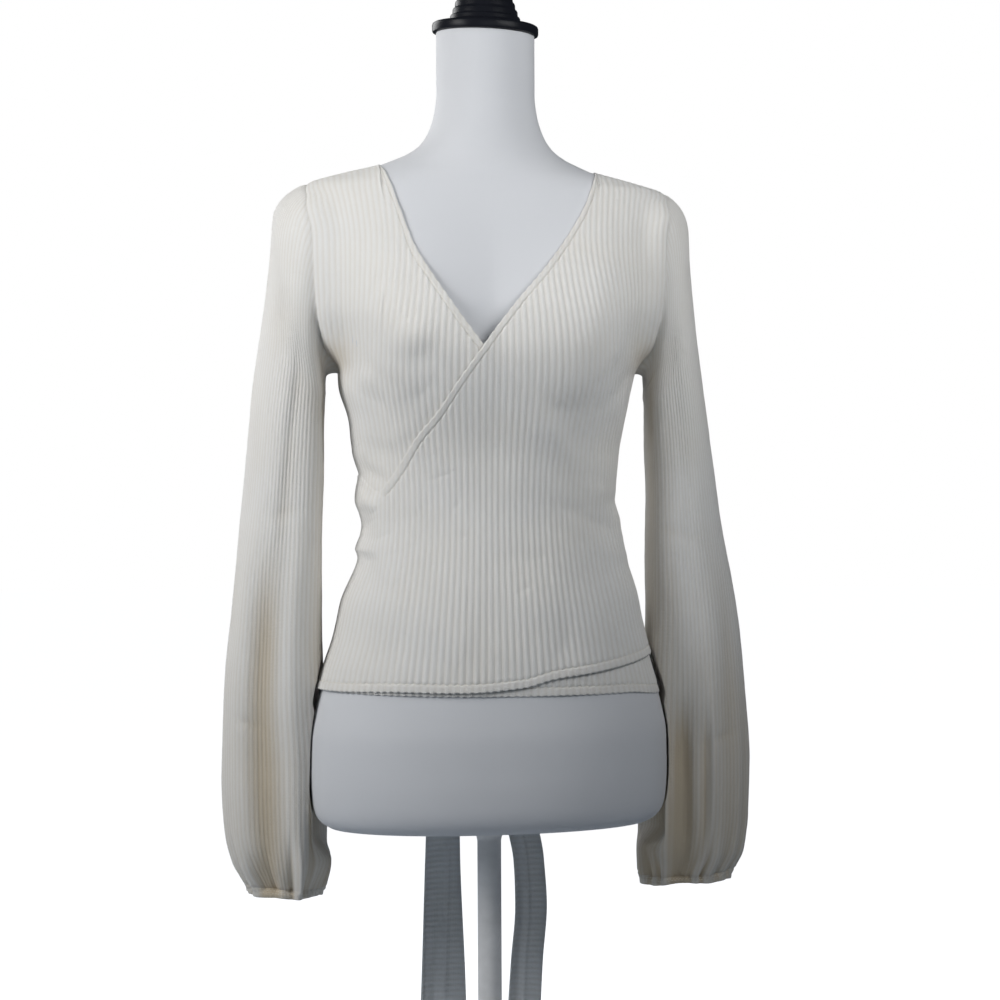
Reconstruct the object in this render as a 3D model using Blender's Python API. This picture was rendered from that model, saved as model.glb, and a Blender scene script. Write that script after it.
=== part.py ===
"""A wrap top of wide rib knit, tied behind, on the limbless dress form that it is shown on.

Units are metres and +Z is up. The top's front faces -Y, and +X is the wearer's left.
The origin is the middle of the stand's underside. Every height in the tables is measured from a level just
below the dress form, and finish() lifts each piece by DATUM.
"""

import math
from collections import namedtuple

import bmesh
import bpy
import numpy as np

# Driving dimensions
DATUM = 0.300  # floor to the level that the tables' heights are measured from
SEAM_GAP = 0.0003  # between pieces that meet
WALL = 0.0012  # cloth between two ribs
RIB_RISE = 0.0008  # a rib's height above that
LIFT_UNDER = 0.0007  # the lower layer's inside, off that surface
LIFT_OVER = 0.0041  # the upper layer's inside, off it
WRAP_LIFT = 0.0008  # more of it where the over front goes round the side
RIBS_A_QUARTER = 16  # raised ribs from the middle to a side seam, one for every two of the knit
RIBS_ON_SLEEVE = 28
TIE_RIB = 0.0159  # pitch of the ties' raised cross ribs, one for every three of the knit

CREAM = (0.80, 0.77, 0.69)
JERSEY_WHITE = (0.80, 0.82, 0.84)
CAP_BLACK = (0.012, 0.013, 0.016)
STAND_WHITE = (0.82, 0.82, 0.82)

# The dress form's level sections: half width, depth in front and behind, and squareness (2 is an ellipse)
FormRing = namedtuple("FormRing", "height half_width front back squareness")
FORM_RINGS = (
    FormRing(0.0120, 0.1480, 0.0890, 0.1050, 2.20),
    FormRing(0.0160, 0.1545, 0.0955, 0.1110, 2.20),
    FormRing(0.0230, 0.1600, 0.1005, 0.1160, 2.20),
    FormRing(0.0350, 0.1630, 0.1035, 0.1190, 2.20),
    FormRing(0.0600, 0.1645, 0.1050, 0.1200, 2.20),
    FormRing(0.0900, 0.1640, 0.1050, 0.1190, 2.20),
    FormRing(0.1240, 0.1590, 0.1030, 0.1130, 2.20),
    FormRing(0.1800, 0.1430, 0.0980, 0.1000, 2.20),
    FormRing(0.2160, 0.1350, 0.0940, 0.0930, 2.20),
    FormRing(0.2530, 0.1230, 0.0890, 0.0850, 2.20),
    FormRing(0.3000, 0.1175, 0.0850, 0.0800, 2.20),
    FormRing(0.3450, 0.1195, 0.0860, 0.0830, 2.20),
    FormRing(0.3820, 0.1245, 0.0890, 0.0880, 2.30),
    FormRing(0.4250, 0.1360, 0.0930, 0.0950, 2.40),
    FormRing(0.4500, 0.1440, 0.0950, 0.0980, 2.40),
    FormRing(0.4800, 0.1540, 0.0930, 0.0990, 2.50),
    FormRing(0.5100, 0.1620, 0.0850, 0.0970, 2.50),
    FormRing(0.5400, 0.1680, 0.0760, 0.0910, 2.40),
    FormRing(0.5700, 0.1715, 0.0680, 0.0830, 2.20),
    FormRing(0.5860, 0.1700, 0.0630, 0.0770, 2.00),
    FormRing(0.5945, 0.1620, 0.0605, 0.0740, 1.90),
    FormRing(0.6005, 0.1450, 0.0590, 0.0720, 1.80),
    FormRing(0.6058, 0.1250, 0.0575, 0.0700, 1.80),
    FormRing(0.6116, 0.1010, 0.0550, 0.0670, 1.80),
    FormRing(0.6175, 0.0850, 0.0530, 0.0640, 1.85),
    FormRing(0.6220, 0.0740, 0.0515, 0.0620, 1.90),
    FormRing(0.6300, 0.0616, 0.0495, 0.0590, 2.00),
    FormRing(0.6450, 0.0520, 0.0475, 0.0560, 2.00),
    FormRing(0.6620, 0.0470, 0.0460, 0.0540, 2.00),
    FormRing(0.6790, 0.0450, 0.0450, 0.0530, 2.00),
    FormRing(0.7340, 0.0450, 0.0450, 0.0525, 2.00),
)
FORM_TOP = FORM_RINGS[-1].height
FORM_SIDES = 32

# How far out of level the shoulders, cap and foot stand: down for each metre towards the wearer's left
TiltRow = namedtuple("TiltRow", "height tilt")
TILTS = (
    TiltRow(-0.150, 0.0),
    TiltRow(-0.060, -0.012),
    TiltRow(0.100, -0.012),
    TiltRow(0.330, 0.0),
    TiltRow(0.580, 0.022),
    TiltRow(0.640, 0.030),
    TiltRow(0.720, 0.045),
    TiltRow(0.800, 0.045),
)

# Under the cloth the form's skin lies this far inside the body surface that the cloth is lifted from
InsetRow = namedtuple("InsetRow", "height inset")
FORM_INSETS = (
    InsetRow(0.090, 0.0),
    InsetRow(0.150, 0.0030),
    InsetRow(0.570, 0.0030),
    InsetRow(0.600, 0.0042),
    InsetRow(0.612, 0.0036),
    InsetRow(0.640, 0.0),
)

# The bust, as two soft mounds on the front
BUST_X = 0.087
BUST_HEIGHT = 0.451
BUST_RISE = 0.025
BUST_SPREAD = 0.050
BUST_SPREAD_UP = 0.056
CLOTH_SAG = 0.35  # how far the cloth follows the hollow between the mounds

# Where the armholes run: the share of the form's half width that the panels reach at each height
ARMPIT = 0.4232
SHOULDER = 0.5935
ArmholeRow = namedtuple("ArmholeRow", "height front_share back_share")
ARMHOLE = (
    ArmholeRow(ARMPIT, 1.000, 1.000),
    ArmholeRow(0.4400, 0.996, 0.996),
    ArmholeRow(0.4650, 0.978, 0.982),
    ArmholeRow(0.5010, 0.945, 0.960),
    ArmholeRow(0.5500, 0.915, 0.935),
    ArmholeRow(0.5800, 0.950, 0.960),
    ArmholeRow(SHOULDER, 1.000, 1.000),
)

# Edges of the fronts and the back, by the distance from the centre line (+ is the wearer's left)
EdgeRow = namedtuple("EdgeRow", "x height")
OVER_NECKLINE = (
    EdgeRow(-0.1180, 0.333),
    EdgeRow(-0.1080, 0.320),
    EdgeRow(-0.0985, 0.319),
    EdgeRow(-0.0840, 0.342),
    EdgeRow(-0.0540, 0.387),
    EdgeRow(-0.0104, 0.451),
    EdgeRow(0.0475, 0.5215),
    EdgeRow(0.0783, 0.567),
    EdgeRow(0.0850, 0.5835),
    EdgeRow(0.0900, 0.597),
    EdgeRow(0.0945, 0.606),
    EdgeRow(0.0998, 0.614),
)
UNDER_NECKLINE = (
    EdgeRow(-0.0998, 0.614),
    EdgeRow(-0.0945, 0.6085),
    EdgeRow(-0.0900, 0.6000),
    EdgeRow(-0.0835, 0.578),
    EdgeRow(-0.0709, 0.539),
    EdgeRow(-0.0423, 0.489),
    EdgeRow(-0.0147, 0.451),
    EdgeRow(0.0350, 0.385),
    EdgeRow(0.0750, 0.338),
    EdgeRow(0.1180, 0.322),
)
BACK_NECKLINE = (
    EdgeRow(0.0, 0.6000),
    EdgeRow(0.0500, 0.6015),
    EdgeRow(0.0850, 0.6070),
    EdgeRow(0.0998, 0.6140),
)
OVER_HEM = (
    EdgeRow(-0.1600, 0.137),
    EdgeRow(-0.1000, 0.139),
    EdgeRow(0.0, 0.142),
    EdgeRow(0.0700, 0.153),
    EdgeRow(0.1600, 0.166),
)
UNDER_HEM = (
    EdgeRow(-0.1600, 0.1395),
    EdgeRow(0.0, 0.1365),
    EdgeRow(0.1200, 0.1345),
    EdgeRow(0.1600, 0.1295),
)
BACK_HEM = (EdgeRow(0.0, 0.134), EdgeRow(0.1600, 0.132))
PANEL_ROWS = (0.18, 0.22, 0.26, 0.30, 0.33, 0.36, 0.39, ARMPIT, 0.455, 0.49, 0.525, 0.56, 0.578, SHOULDER)
RIDGE_SHARES = (0.3, 0.6, 0.85, 1.0)  # rows between the shoulder's tip and its ridge
LOWEST_ROW = 0.120  # below every hem
LOWEST_NECKLINE = 0.25
TRACK_STEP = 0.001
BACK_RISES = (15, 40)  # degrees round from the centre back, between which the back rises to the upper layer
OVER_WRAP = (98.0, 94.0)  # degrees round from the centre front, where the over front ends behind the side
OVER_END_HEIGHTS = (0.136, 0.336)
UNDER_STOPS = 2  # rib lines short of the side seam where the under front ends

# The sleeves' sections: outermost and innermost point, half depth and how far back the middle lies
SleeveRing = namedtuple("SleeveRing", "outer_x outer_height inner_x inner_height half_depth back")
LEFT_SLEEVE_RINGS = (
    SleeveRing(0.1850, 0.5940, 0.1485, 0.4210, 0.0530, 0.006),
    SleeveRing(0.1945, 0.5740, 0.1495, 0.4180, 0.0535, 0.008),
    SleeveRing(0.1985, 0.5300, 0.1495, 0.4090, 0.0540, 0.010),
    SleeveRing(0.2060, 0.4700, 0.1500, 0.3900, 0.0545, 0.013),
    SleeveRing(0.2160, 0.3950, 0.1500, 0.3560, 0.0550, 0.018),
    SleeveRing(0.2245, 0.3050, 0.1515, 0.2900, 0.0560, 0.024),
    SleeveRing(0.2350, 0.2150, 0.1530, 0.2100, 0.0575, 0.031),
    SleeveRing(0.2430, 0.1300, 0.1500, 0.1280, 0.0590, 0.037),
    SleeveRing(0.2465, 0.0600, 0.1450, 0.0600, 0.0590, 0.041),
    SleeveRing(0.2455, 0.0100, 0.1430, 0.0100, 0.0570, 0.041),
    SleeveRing(0.2400, -0.0240, 0.1455, -0.0260, 0.0520, 0.040),
    SleeveRing(0.2275, -0.0440, 0.1525, -0.0490, 0.0440, 0.040),
)
# The wearer's left one hangs closer at the upper arm and fuller at the wrist
RIGHT_SLEEVE_RINGS = (
    SleeveRing(0.1795, 0.5940, 0.1480, 0.4210, 0.0530, 0.006),
    SleeveRing(0.1875, 0.5740, 0.1480, 0.4180, 0.0535, 0.008),
    SleeveRing(0.1895, 0.5300, 0.1480, 0.4090, 0.0540, 0.010),
    SleeveRing(0.1945, 0.4700, 0.1490, 0.3900, 0.0545, 0.013),
    SleeveRing(0.2050, 0.3950, 0.1500, 0.3560, 0.0550, 0.018),
    SleeveRing(0.2170, 0.3050, 0.1515, 0.2900, 0.0560, 0.024),
    SleeveRing(0.2335, 0.2150, 0.1515, 0.2100, 0.0575, 0.031),
    SleeveRing(0.2445, 0.1300, 0.1490, 0.1280, 0.0590, 0.037),
    SleeveRing(0.2495, 0.0600, 0.1450, 0.0600, 0.0590, 0.041),
    SleeveRing(0.2490, 0.0100, 0.1420, 0.0100, 0.0570, 0.041),
    SleeveRing(0.2440, -0.0260, 0.1430, -0.0280, 0.0520, 0.040),
    SleeveRing(0.2330, -0.0470, 0.1475, -0.0520, 0.0440, 0.040),
)
CUFF_HEIGHT = 0.0095
CUFF_WALL = 0.0024
CUFF_SIDES = 28
CUFF_DRAW_IN = 0.12  # for each metre down
GATHERS = 14
GATHER_RISE = 0.0022
GATHERED_RINGS = 3  # how many of the sleeve's last sections the gathers reach up
HIP_CLEARANCE = 0.0095  # the sleeves hang this far off the body, outside the panels
HIP_TOP = 0.30
HIP_FOOT = 0.026
HIP_FADE = -0.05

# The sash ties
KNOT_HEIGHT = 0.290
KNOT_RADII = (0.023, 0.0135, 0.019)
TIE_WALL = 0.0013
TIE_LIFT_LEFT = 0.0042
TIE_LIFT_RIGHT = 0.0077
TieBand = namedtuple("TieBand", "turn lower upper")
TIE_OVER_BAND = (TieBand(-98.3, 0.264, 0.334), TieBand(-175.8, 0.276, 0.304))
TIE_UNDER_BAND = (TieBand(97.0, 0.272, 0.318), TieBand(170.0, 0.276, 0.304))
TIE_ARC_RADIUS = 0.105  # of the waist, to count the cross ribs
TIE_FOLDS = 2
TIE_FOLD_RISE = 0.0012
TieRow = namedtuple("TieRow", "length x half_width")
TIE_OVER_END = (
    TieRow(0.00, -0.0100, 0.0092),
    TieRow(0.25, -0.0220, 0.0150),
    TieRow(0.60, -0.0320, 0.0165),
    TieRow(1.00, -0.0360, 0.0225),
)
TIE_UNDER_END = (
    TieRow(0.00, 0.0100, 0.0092),
    TieRow(0.25, 0.0280, 0.0150),
    TieRow(0.60, 0.0400, 0.0165),
    TieRow(1.00, 0.0430, 0.0170),
)
TIE_END_HEIGHT = -0.195
TIE_END_CLEARANCE = 0.0095
TIE_END_FOLD = 0.0035

# Turned pieces, as radius and height pairs from the bottom up
CAP_PROFILE = (
    (0.0470, 0.7343), (0.0485, 0.7358), (0.0485, 0.7420), (0.0470, 0.7435),
    (0.0400, 0.7440), (0.0400, 0.7500), (0.0370, 0.7512), (0.0370, 0.7570),
    (0.0330, 0.7585), (0.0310, 0.7660), (0.0250, 0.7690), (0.0235, 0.7740),
    (0.0240, 0.7800), (0.0200, 0.7880), (0.0110, 0.7930),
)
STAND_PROFILE = (
    (0.1460, -0.3000), (0.1500, -0.2970), (0.1500, -0.2870), (0.1440, -0.2815),
    (0.0300, -0.2780), (0.0160, -0.2740), (0.0110, -0.2660), (0.0110, -0.0010),
    (0.0300, 0.0050), (0.0320, 0.0117),
)
TURNED_SIDES = 18
SHARP_ANGLE = math.radians(30)


def smooth_curve(xs, ys):
    """A smooth function through the points, which never swings past them (a monotone cubic)."""
    xs = np.asarray(xs, float)
    ys = np.asarray(ys, float)
    steps = np.diff(xs)
    slopes = np.diff(ys) / steps
    tangents = np.zeros_like(ys)
    tangents[0] = slopes[0]
    tangents[-1] = slopes[-1]
    for i in range(1, len(xs) - 1):
        if slopes[i - 1] * slopes[i] > 0:
            left = steps[i] * 2 + steps[i - 1]
            right = steps[i] + steps[i - 1] * 2
            tangents[i] = (left + right) / (left / slopes[i - 1] + right / slopes[i])

    def at(x):
        x = np.clip(x, xs[0], xs[-1])
        i = np.clip(np.searchsorted(xs, x, side="right") - 1, 0, len(steps) - 1)
        t = (x - xs[i]) / steps[i]
        start = (1 + 2 * t) * (1 - t) ** 2 * ys[i] + t * (1 - t) ** 2 * steps[i] * tangents[i]
        return start + t * t * (3 - 2 * t) * ys[i + 1] + t * t * (t - 1) * steps[i] * tangents[i + 1]

    return at


def table_curve(rows, column):
    """smooth_curve() of one column of a table over the table's first column."""
    return smooth_curve([row[0] for row in rows], [getattr(row, column) for row in rows])


HALF_WIDTH = table_curve(FORM_RINGS, "half_width")
FRONT = table_curve(FORM_RINGS, "front")
BACK = table_curve(FORM_RINGS, "back")
SQUARENESS = table_curve(FORM_RINGS, "squareness")
INSET = table_curve(FORM_INSETS, "inset")
TILT = table_curve(TILTS, "tilt")
FRONT_SHARE = table_curve(ARMHOLE, "front_share")
BACK_SHARE = table_curve(ARMHOLE, "back_share")


def bust(x, height, sag):
    """How far the mounds stand forward; sag is 1 on the form and less on cloth that spans the hollow."""
    off = np.abs(x) - BUST_X
    across = np.exp(-0.5 * (off / BUST_SPREAD) ** 2)
    across = np.where(off < 0, 1 - sag * (1 - across), across)
    up = np.exp(-0.5 * ((height - BUST_HEIGHT) / BUST_SPREAD_UP) ** 2)
    fade = np.sin(math.pi / 2 * np.clip((1 - np.abs(x) / HALF_WIDTH(height)) * 2.2, 0, 1))
    return BUST_RISE * across * up * fade


def body_level(x, y, height, sag=CLOTH_SAG):
    """1 on the body's surface, less inside it and more outside it."""
    y = y + np.where(y < 0, bust(x, height, sag), 0)
    depth = np.where(y < 0, FRONT(height), BACK(height))
    square = SQUARENESS(height)
    return np.abs(x / HALF_WIDTH(height)) ** square + np.abs(y / depth) ** square


def body_y(x, height, facing, sag=CLOTH_SAG):
    """The surface's y at x and height, on the front (facing -1) or the back (facing 1)."""
    share = np.clip(np.abs(x) / HALF_WIDTH(height), 0, 1)
    square = SQUARENESS(height)
    rest = np.clip(1 - share**square, 0, 1) ** (1 / square)
    if facing > 0:
        return BACK(height) * rest
    return -FRONT(height) * rest - bust(x, height, sag)


def body_reach(turn, height):
    """The distance from the axis to the surface, turn radians round from the centre front, bust left out."""
    square = float(SQUARENESS(height))
    depth = float((FRONT if math.cos(turn) > 0 else BACK)(height))
    across = abs(math.sin(turn)) / float(HALF_WIDTH(height))
    along = abs(math.cos(turn)) / depth
    return (across**square + along**square) ** (-1 / square)


def body_point(degrees, height):
    """The surface's point in a direction, in degrees round from the centre front."""
    turn = math.radians(degrees)
    reach = body_reach(turn, height)
    return (reach * math.sin(turn), -reach * math.cos(turn), height)


def lift_off(point, lift, sag=CLOTH_SAG):
    """Moves a point on the body straight out from the body's surface."""
    step = 1e-4
    slope = []
    for axis in range(3):
        before = np.array(point, float)
        after = np.array(point, float)
        before[axis] -= step
        after[axis] += step
        slope.append(float(body_level(*after, sag) - body_level(*before, sag)))
    normal = np.array(slope)
    return np.array(point, float) + normal / np.linalg.norm(normal) * lift


def eased(share):
    share = min(max(share, 0), 1)
    return share * share * (3 - 2 * share)


def half_section(height, facing):
    """Closely spaced x and y of a level section, from the centre line to the armhole or the side seam."""
    edge = 1 - SEAM_GAP
    if ARMPIT < height < SHOULDER:
        edge = min(edge, float((BACK_SHARE if facing > 0 else FRONT_SHARE)(height)))
    # equal steps of this angle crowd the samples where the section turns to the side
    turns = np.linspace(0, math.pi / 2, 181)
    xs = edge * HALF_WIDTH(height) * np.sin(turns)
    return xs, off_the_seam(body_y(xs, height, facing), facing)


def off_the_seam(ys, facing):
    """Keeps half of the seam's gap between the fronts and the back."""
    half_gap = SEAM_GAP / 2
    return np.maximum(ys, half_gap) if facing > 0 else np.minimum(ys, -half_gap)


def spread_along(xs, ys, shares):
    """The points that lie at the given shares of a line's length."""
    length = np.concatenate([[0], np.cumsum(np.hypot(np.diff(xs), np.diff(ys)))])
    wanted = np.asarray(shares) * length[-1]
    return np.interp(wanted, length, xs), np.interp(wanted, length, ys)


RibLine = namedtuple("RibLine", "heights xs ys ridge")


def rib_lines(facing):
    """The rib lines of one half of the front or back, from the centre to the side.
    Each runs up the body from below the hem to the shoulder's ridge. It keeps its share of the way round, as
    knit ribs do, and above the shoulder's tip it keeps its x."""
    shares = np.linspace(0, 1, 2 * RIBS_A_QUARTER + 1)
    heights = np.arange(LOWEST_ROW, SHOULDER, TRACK_STEP)
    sections = [spread_along(*half_section(height, facing), shares) for height in heights]
    xs = np.array([section[0] for section in sections])
    ys = np.array([section[1] for section in sections])
    upper = np.arange(SHOULDER, FORM_TOP, TRACK_STEP / 8)
    widths = HALF_WIDTH(upper)
    lines = []
    for k in range(len(shares)):
        x = min(float(xs[-1, k]), float(widths[0]) * (1 - SEAM_GAP))
        ridge = float(upper[widths > x][-1])
        above = np.unique(np.append(np.arange(SHOULDER, ridge, TRACK_STEP / 4), ridge))
        ys_above = off_the_seam(body_y(np.full(len(above), x), above, facing), facing)
        ys_above[-1] = facing * SEAM_GAP / 2
        lines.append(
            RibLine(
                np.concatenate([heights, above]),
                np.concatenate([xs[:, k], np.full(len(above), x)]),
                np.concatenate([ys[:, k], ys_above]),
                ridge,
            )
        )
    return lines


def panel_column(line, side, neckline, hem, lift_at):
    """A rib line's points from hem to top, as (x, y, height, lift) with as many rows on every line.
    Rows above the panel's top edge fall together on it, and finish() leaves one point of them."""
    xs = line.xs * side
    above = np.nonzero((line.heights > neckline(xs)) & (line.heights > LOWEST_NECKLINE))[0]
    top = float(line.heights[above[0]]) if len(above) else line.ridge
    bottom = float(hem(xs[0]))
    ridge_rows = [SHOULDER + share * (line.ridge - SHOULDER) for share in RIDGE_SHARES]
    column = []
    for row in (bottom, *PANEL_ROWS, *ridge_rows):
        height = min(max(row, bottom), top)
        x = float(np.interp(height, line.heights, xs))
        y = float(np.interp(height, line.heights, line.ys))
        column.append((x, y, height, lift_at(x, y)))
    return column


def wrapped_column(degrees):
    """A column of the over front where it goes round the side, behind the under front's side seam."""
    bottom, top = OVER_END_HEIGHTS
    column = []
    for row in (bottom, *PANEL_ROWS, *([top] * len(RIDGE_SHARES))):
        point = body_point(-degrees, min(max(row, bottom), top))
        column.append((*point, LIFT_OVER + WRAP_LIFT))
    return column


def cloth_wall(name, outer, inner, closed, material):
    """A thin solid wall between two lists of columns of points.
    The inner one is plain, with a column under every second outer one. closed joins the last column to the
    first, as on a sleeve."""
    mesh = bmesh.new()
    outer_verts = [[mesh.verts.new(point) for point in column] for column in outer]
    inner_verts = [[mesh.verts.new(point) for point in column] for column in inner]
    rows = len(outer[0])

    def skin(columns, inside_out):
        spans = len(columns) if closed else len(columns) - 1
        for i in range(spans):
            here = columns[i]
            beside = columns[(i + 1) % len(columns)]
            for j in range(rows - 1):
                for face in ((here[j], beside[j], beside[j + 1]), (here[j], beside[j + 1], here[j + 1])):
                    mesh.faces.new(reversed(face) if inside_out else face)

    skin(outer_verts, False)
    skin(inner_verts, True)
    spans = len(inner_verts) if closed else len(inner_verts) - 1
    for row in (0, rows - 1):
        for i in range(spans):
            here = inner_verts[i][row]
            beside = inner_verts[(i + 1) % len(inner_verts)][row]
            first, crest, last = (outer_verts[(2 * i + step) % len(outer_verts)][row] for step in range(3))
            for face in ((here, crest, first), (here, beside, crest), (beside, last, crest)):
                mesh.faces.new(reversed(face) if row else face)
    if not closed:
        for near, far in ((outer_verts[0], inner_verts[0]), (inner_verts[-1], outer_verts[-1])):
            for j in range(rows - 1):
                mesh.faces.new((near[j], near[j + 1], far[j + 1]))
                mesh.faces.new((near[j], far[j + 1], far[j]))
    return finish(name, mesh, material)


def finish(name, mesh, material):
    """Makes the object of a bmesh, tilted as TILTS says and lifted from the tables' level."""
    bmesh.ops.remove_doubles(mesh, verts=mesh.verts, dist=1e-6)
    bmesh.ops.recalc_face_normals(mesh, faces=mesh.faces)
    for vert in mesh.verts:
        vert.co.z -= vert.co.x * float(TILT(vert.co.z))
    bmesh.ops.translate(mesh, vec=(0, 0, DATUM), verts=mesh.verts)
    data = bpy.data.meshes.new(name)
    mesh.to_mesh(data)
    mesh.free()
    data.materials.append(material)
    data.shade_smooth()
    data.set_sharp_from_angle(angle=SHARP_ANGLE)
    made = bpy.data.objects.new(name, data)
    bpy.context.scene.collection.objects.link(made)
    return made


def principled(name, colour, roughness):
    material = bpy.data.materials.new(name)
    material.use_nodes = True
    shader = material.node_tree.nodes["Principled BSDF"]
    shader.inputs["Base Color"].default_value = (*colour, 1)
    shader.inputs["Roughness"].default_value = roughness
    return material


def ribbed_panel(name, columns, material):
    """The wall of a body panel from columns of (x, y, height, lift). Every second one is a rib's crest."""
    outer = []
    inner = []
    for i, column in enumerate(columns):
        rise = 0 if i % 2 else RIB_RISE
        outer.append([lift_off(row[:3], row[3] + WALL + rise) for row in column])
        if i % 2 == 0:
            inner.append([lift_off(row[:3], row[3]) for row in column])
    return cloth_wall(name, outer, inner, False, material)


def under_lift(x, y):
    return LIFT_UNDER


def over_lift(x, y):
    return LIFT_OVER


def back_lift(x, y):
    """The back lies low at the wearer's right seam, and rises to the over front's level at the left one."""
    start, stop = BACK_RISES
    share = (math.degrees(math.atan2(x, y)) - start) / (stop - start)
    return LIFT_UNDER + (LIFT_OVER - LIFT_UNDER) * eased(share)


def front_over(material):
    """The wearer's left front, from its side seam across the body and round the other side."""
    neckline = table_curve(OVER_NECKLINE, "height")
    hem = table_curve(OVER_HEM, "height")
    lines = rib_lines(-1)
    columns = [wrapped_column(degrees) for degrees in OVER_WRAP]
    columns += [panel_column(line, -1, neckline, hem, over_lift) for line in lines[:0:-1]]
    columns += [panel_column(line, 1, neckline, hem, over_lift) for line in lines]
    ribbed_panel("front_over", columns, material)


def front_under(material):
    """The wearer's right front, from its side seam across the body beneath the other one."""
    neckline = table_curve(UNDER_NECKLINE, "height")
    hem = table_curve(UNDER_HEM, "height")
    lines = rib_lines(-1)
    columns = [panel_column(line, -1, neckline, hem, under_lift) for line in lines[::-1]]
    columns += [panel_column(line, 1, neckline, hem, under_lift) for line in lines[1:-UNDER_STOPS]]
    ribbed_panel("front_under", columns, material)


def back(material):
    neckline = table_curve(BACK_NECKLINE, "height")
    hem = table_curve(BACK_HEM, "height")

    def neckline_both_ways(xs):
        return neckline(np.abs(xs))

    def hem_both_ways(xs):
        return hem(np.abs(xs))

    lines = rib_lines(1)
    columns = [panel_column(line, 1, neckline_both_ways, hem_both_ways, back_lift) for line in lines[:0:-1]]
    columns += [panel_column(line, -1, neckline_both_ways, hem_both_ways, back_lift) for line in lines]
    ribbed_panel("back", columns, material)


def armhole_point(turn, lift):
    """A point of the armhole's edge, on the wearer's left: turn is 0 at the shoulder, a quarter in front."""
    facing = -1 if math.sin(turn) > 0 else 1
    height = (ARMPIT + SHOULDER) / 2 + (SHOULDER - ARMPIT) / 2 * math.cos(turn)
    share = min(float((FRONT_SHARE if facing < 0 else BACK_SHARE)(height)), 1 - SEAM_GAP)
    x = share * float(HALF_WIDTH(height))
    return lift_off((x, float(body_y(x, height, facing)), height), lift)


def clear_of_hip(point):
    """Pushes a sleeve's point out from the form's axis until it hangs clear of the panels on the hip.
    Below the form the push fades away."""
    x, y, height = point
    if height > HIP_TOP:
        return point
    level = max(height, HIP_FOOT)
    wanted = body_reach(math.atan2(x, -y), level) + HIP_CLEARANCE
    distance = math.hypot(x, y)
    push = max(wanted - distance, 0) * eased((height - HIP_FADE) / (0 - HIP_FADE))
    return np.array((x, y, 0)) * (1 + push / distance) + np.array((0, 0, height))


SleeveFrame = namedtuple("SleeveFrame", "centre outward forward")


def sleeve_frame(row):
    """A sleeve section's centre and its half axes, outward and forward."""
    outer = np.array((row.outer_x, row.back, row.outer_height))
    inner = np.array((row.inner_x, row.back, row.inner_height))
    return SleeveFrame((outer + inner) / 2, (outer - inner) / 2, np.array((0, -row.half_depth, 0)))


def ring_point(frame, turn):
    """The section's point and the direction out of the sleeve there."""
    point = frame.centre + frame.outward * math.cos(turn) + frame.forward * math.sin(turn)
    out = frame.outward / np.linalg.norm(frame.outward) * math.cos(turn)
    out = out + frame.forward / np.linalg.norm(frame.forward) * math.sin(turn)
    return point, out


def mirrored(points, side):
    return [(point[0] * side, point[1], point[2]) for point in points]


def sleeve_column(turn, rings, armhole_lift, wall, side):
    """Points down the sleeve from the armhole, wall outside the cloth's middle.
    Waves gather its last sections."""
    frames = [sleeve_frame(row) for row in rings]
    start = armhole_point(turn, armhole_lift)
    points = [start + ring_point(frames[0], turn)[1] * wall]
    for ring, frame in enumerate(frames):
        point, out = ring_point(frame, turn)
        gathered = max(0, (ring - len(frames) + 1) / GATHERED_RINGS + 1) ** 2
        wave = GATHER_RISE * gathered * math.cos(GATHERS * turn)
        points.append(clear_of_hip(point) + out * (wall + wave))
    return mirrored(points, side)


def sleeve(name, side, rings, panel_lift, material):
    """A sleeve from just outside the panels' armhole edges, at the level of the panels that it joins."""
    count = 2 * RIBS_ON_SLEEVE
    armhole_lift = panel_lift + WALL + RIB_RISE + SEAM_GAP + WALL / 2
    outer = []
    inner = []
    for k in range(count):
        turn = 2 * math.pi * k / count
        rise = 0 if k % 2 else RIB_RISE
        outer.append(sleeve_column(turn, rings, armhole_lift, WALL / 2 + rise, side))
        if k % 2 == 0:
            inner.append(sleeve_column(turn, rings, armhole_lift, -WALL / 2, side))
    cloth_wall(name, outer, inner, True, material)


def cuff(name, side, rings, material):
    """The binding below the sleeve's last section, drawn in a little at its edge."""
    frame = sleeve_frame(rings[-1])
    outer = []
    inner = []
    for k in range(CUFF_SIDES):
        point, out = ring_point(frame, 2 * math.pi * k / CUFF_SIDES)
        walls = (CUFF_WALL / 2, -CUFF_WALL / 2) if k % 2 == 0 else (CUFF_WALL / 2,)
        for wall, columns in zip(walls, (outer, inner)):
            drops = (SEAM_GAP, CUFF_HEIGHT / 2, CUFF_HEIGHT)
            points = [point + out * (wall - drop * CUFF_DRAW_IN) - np.array((0, 0, drop)) for drop in drops]
            columns.append(mirrored(points, side))
    cloth_wall(name, outer, inner, True, material)


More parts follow.
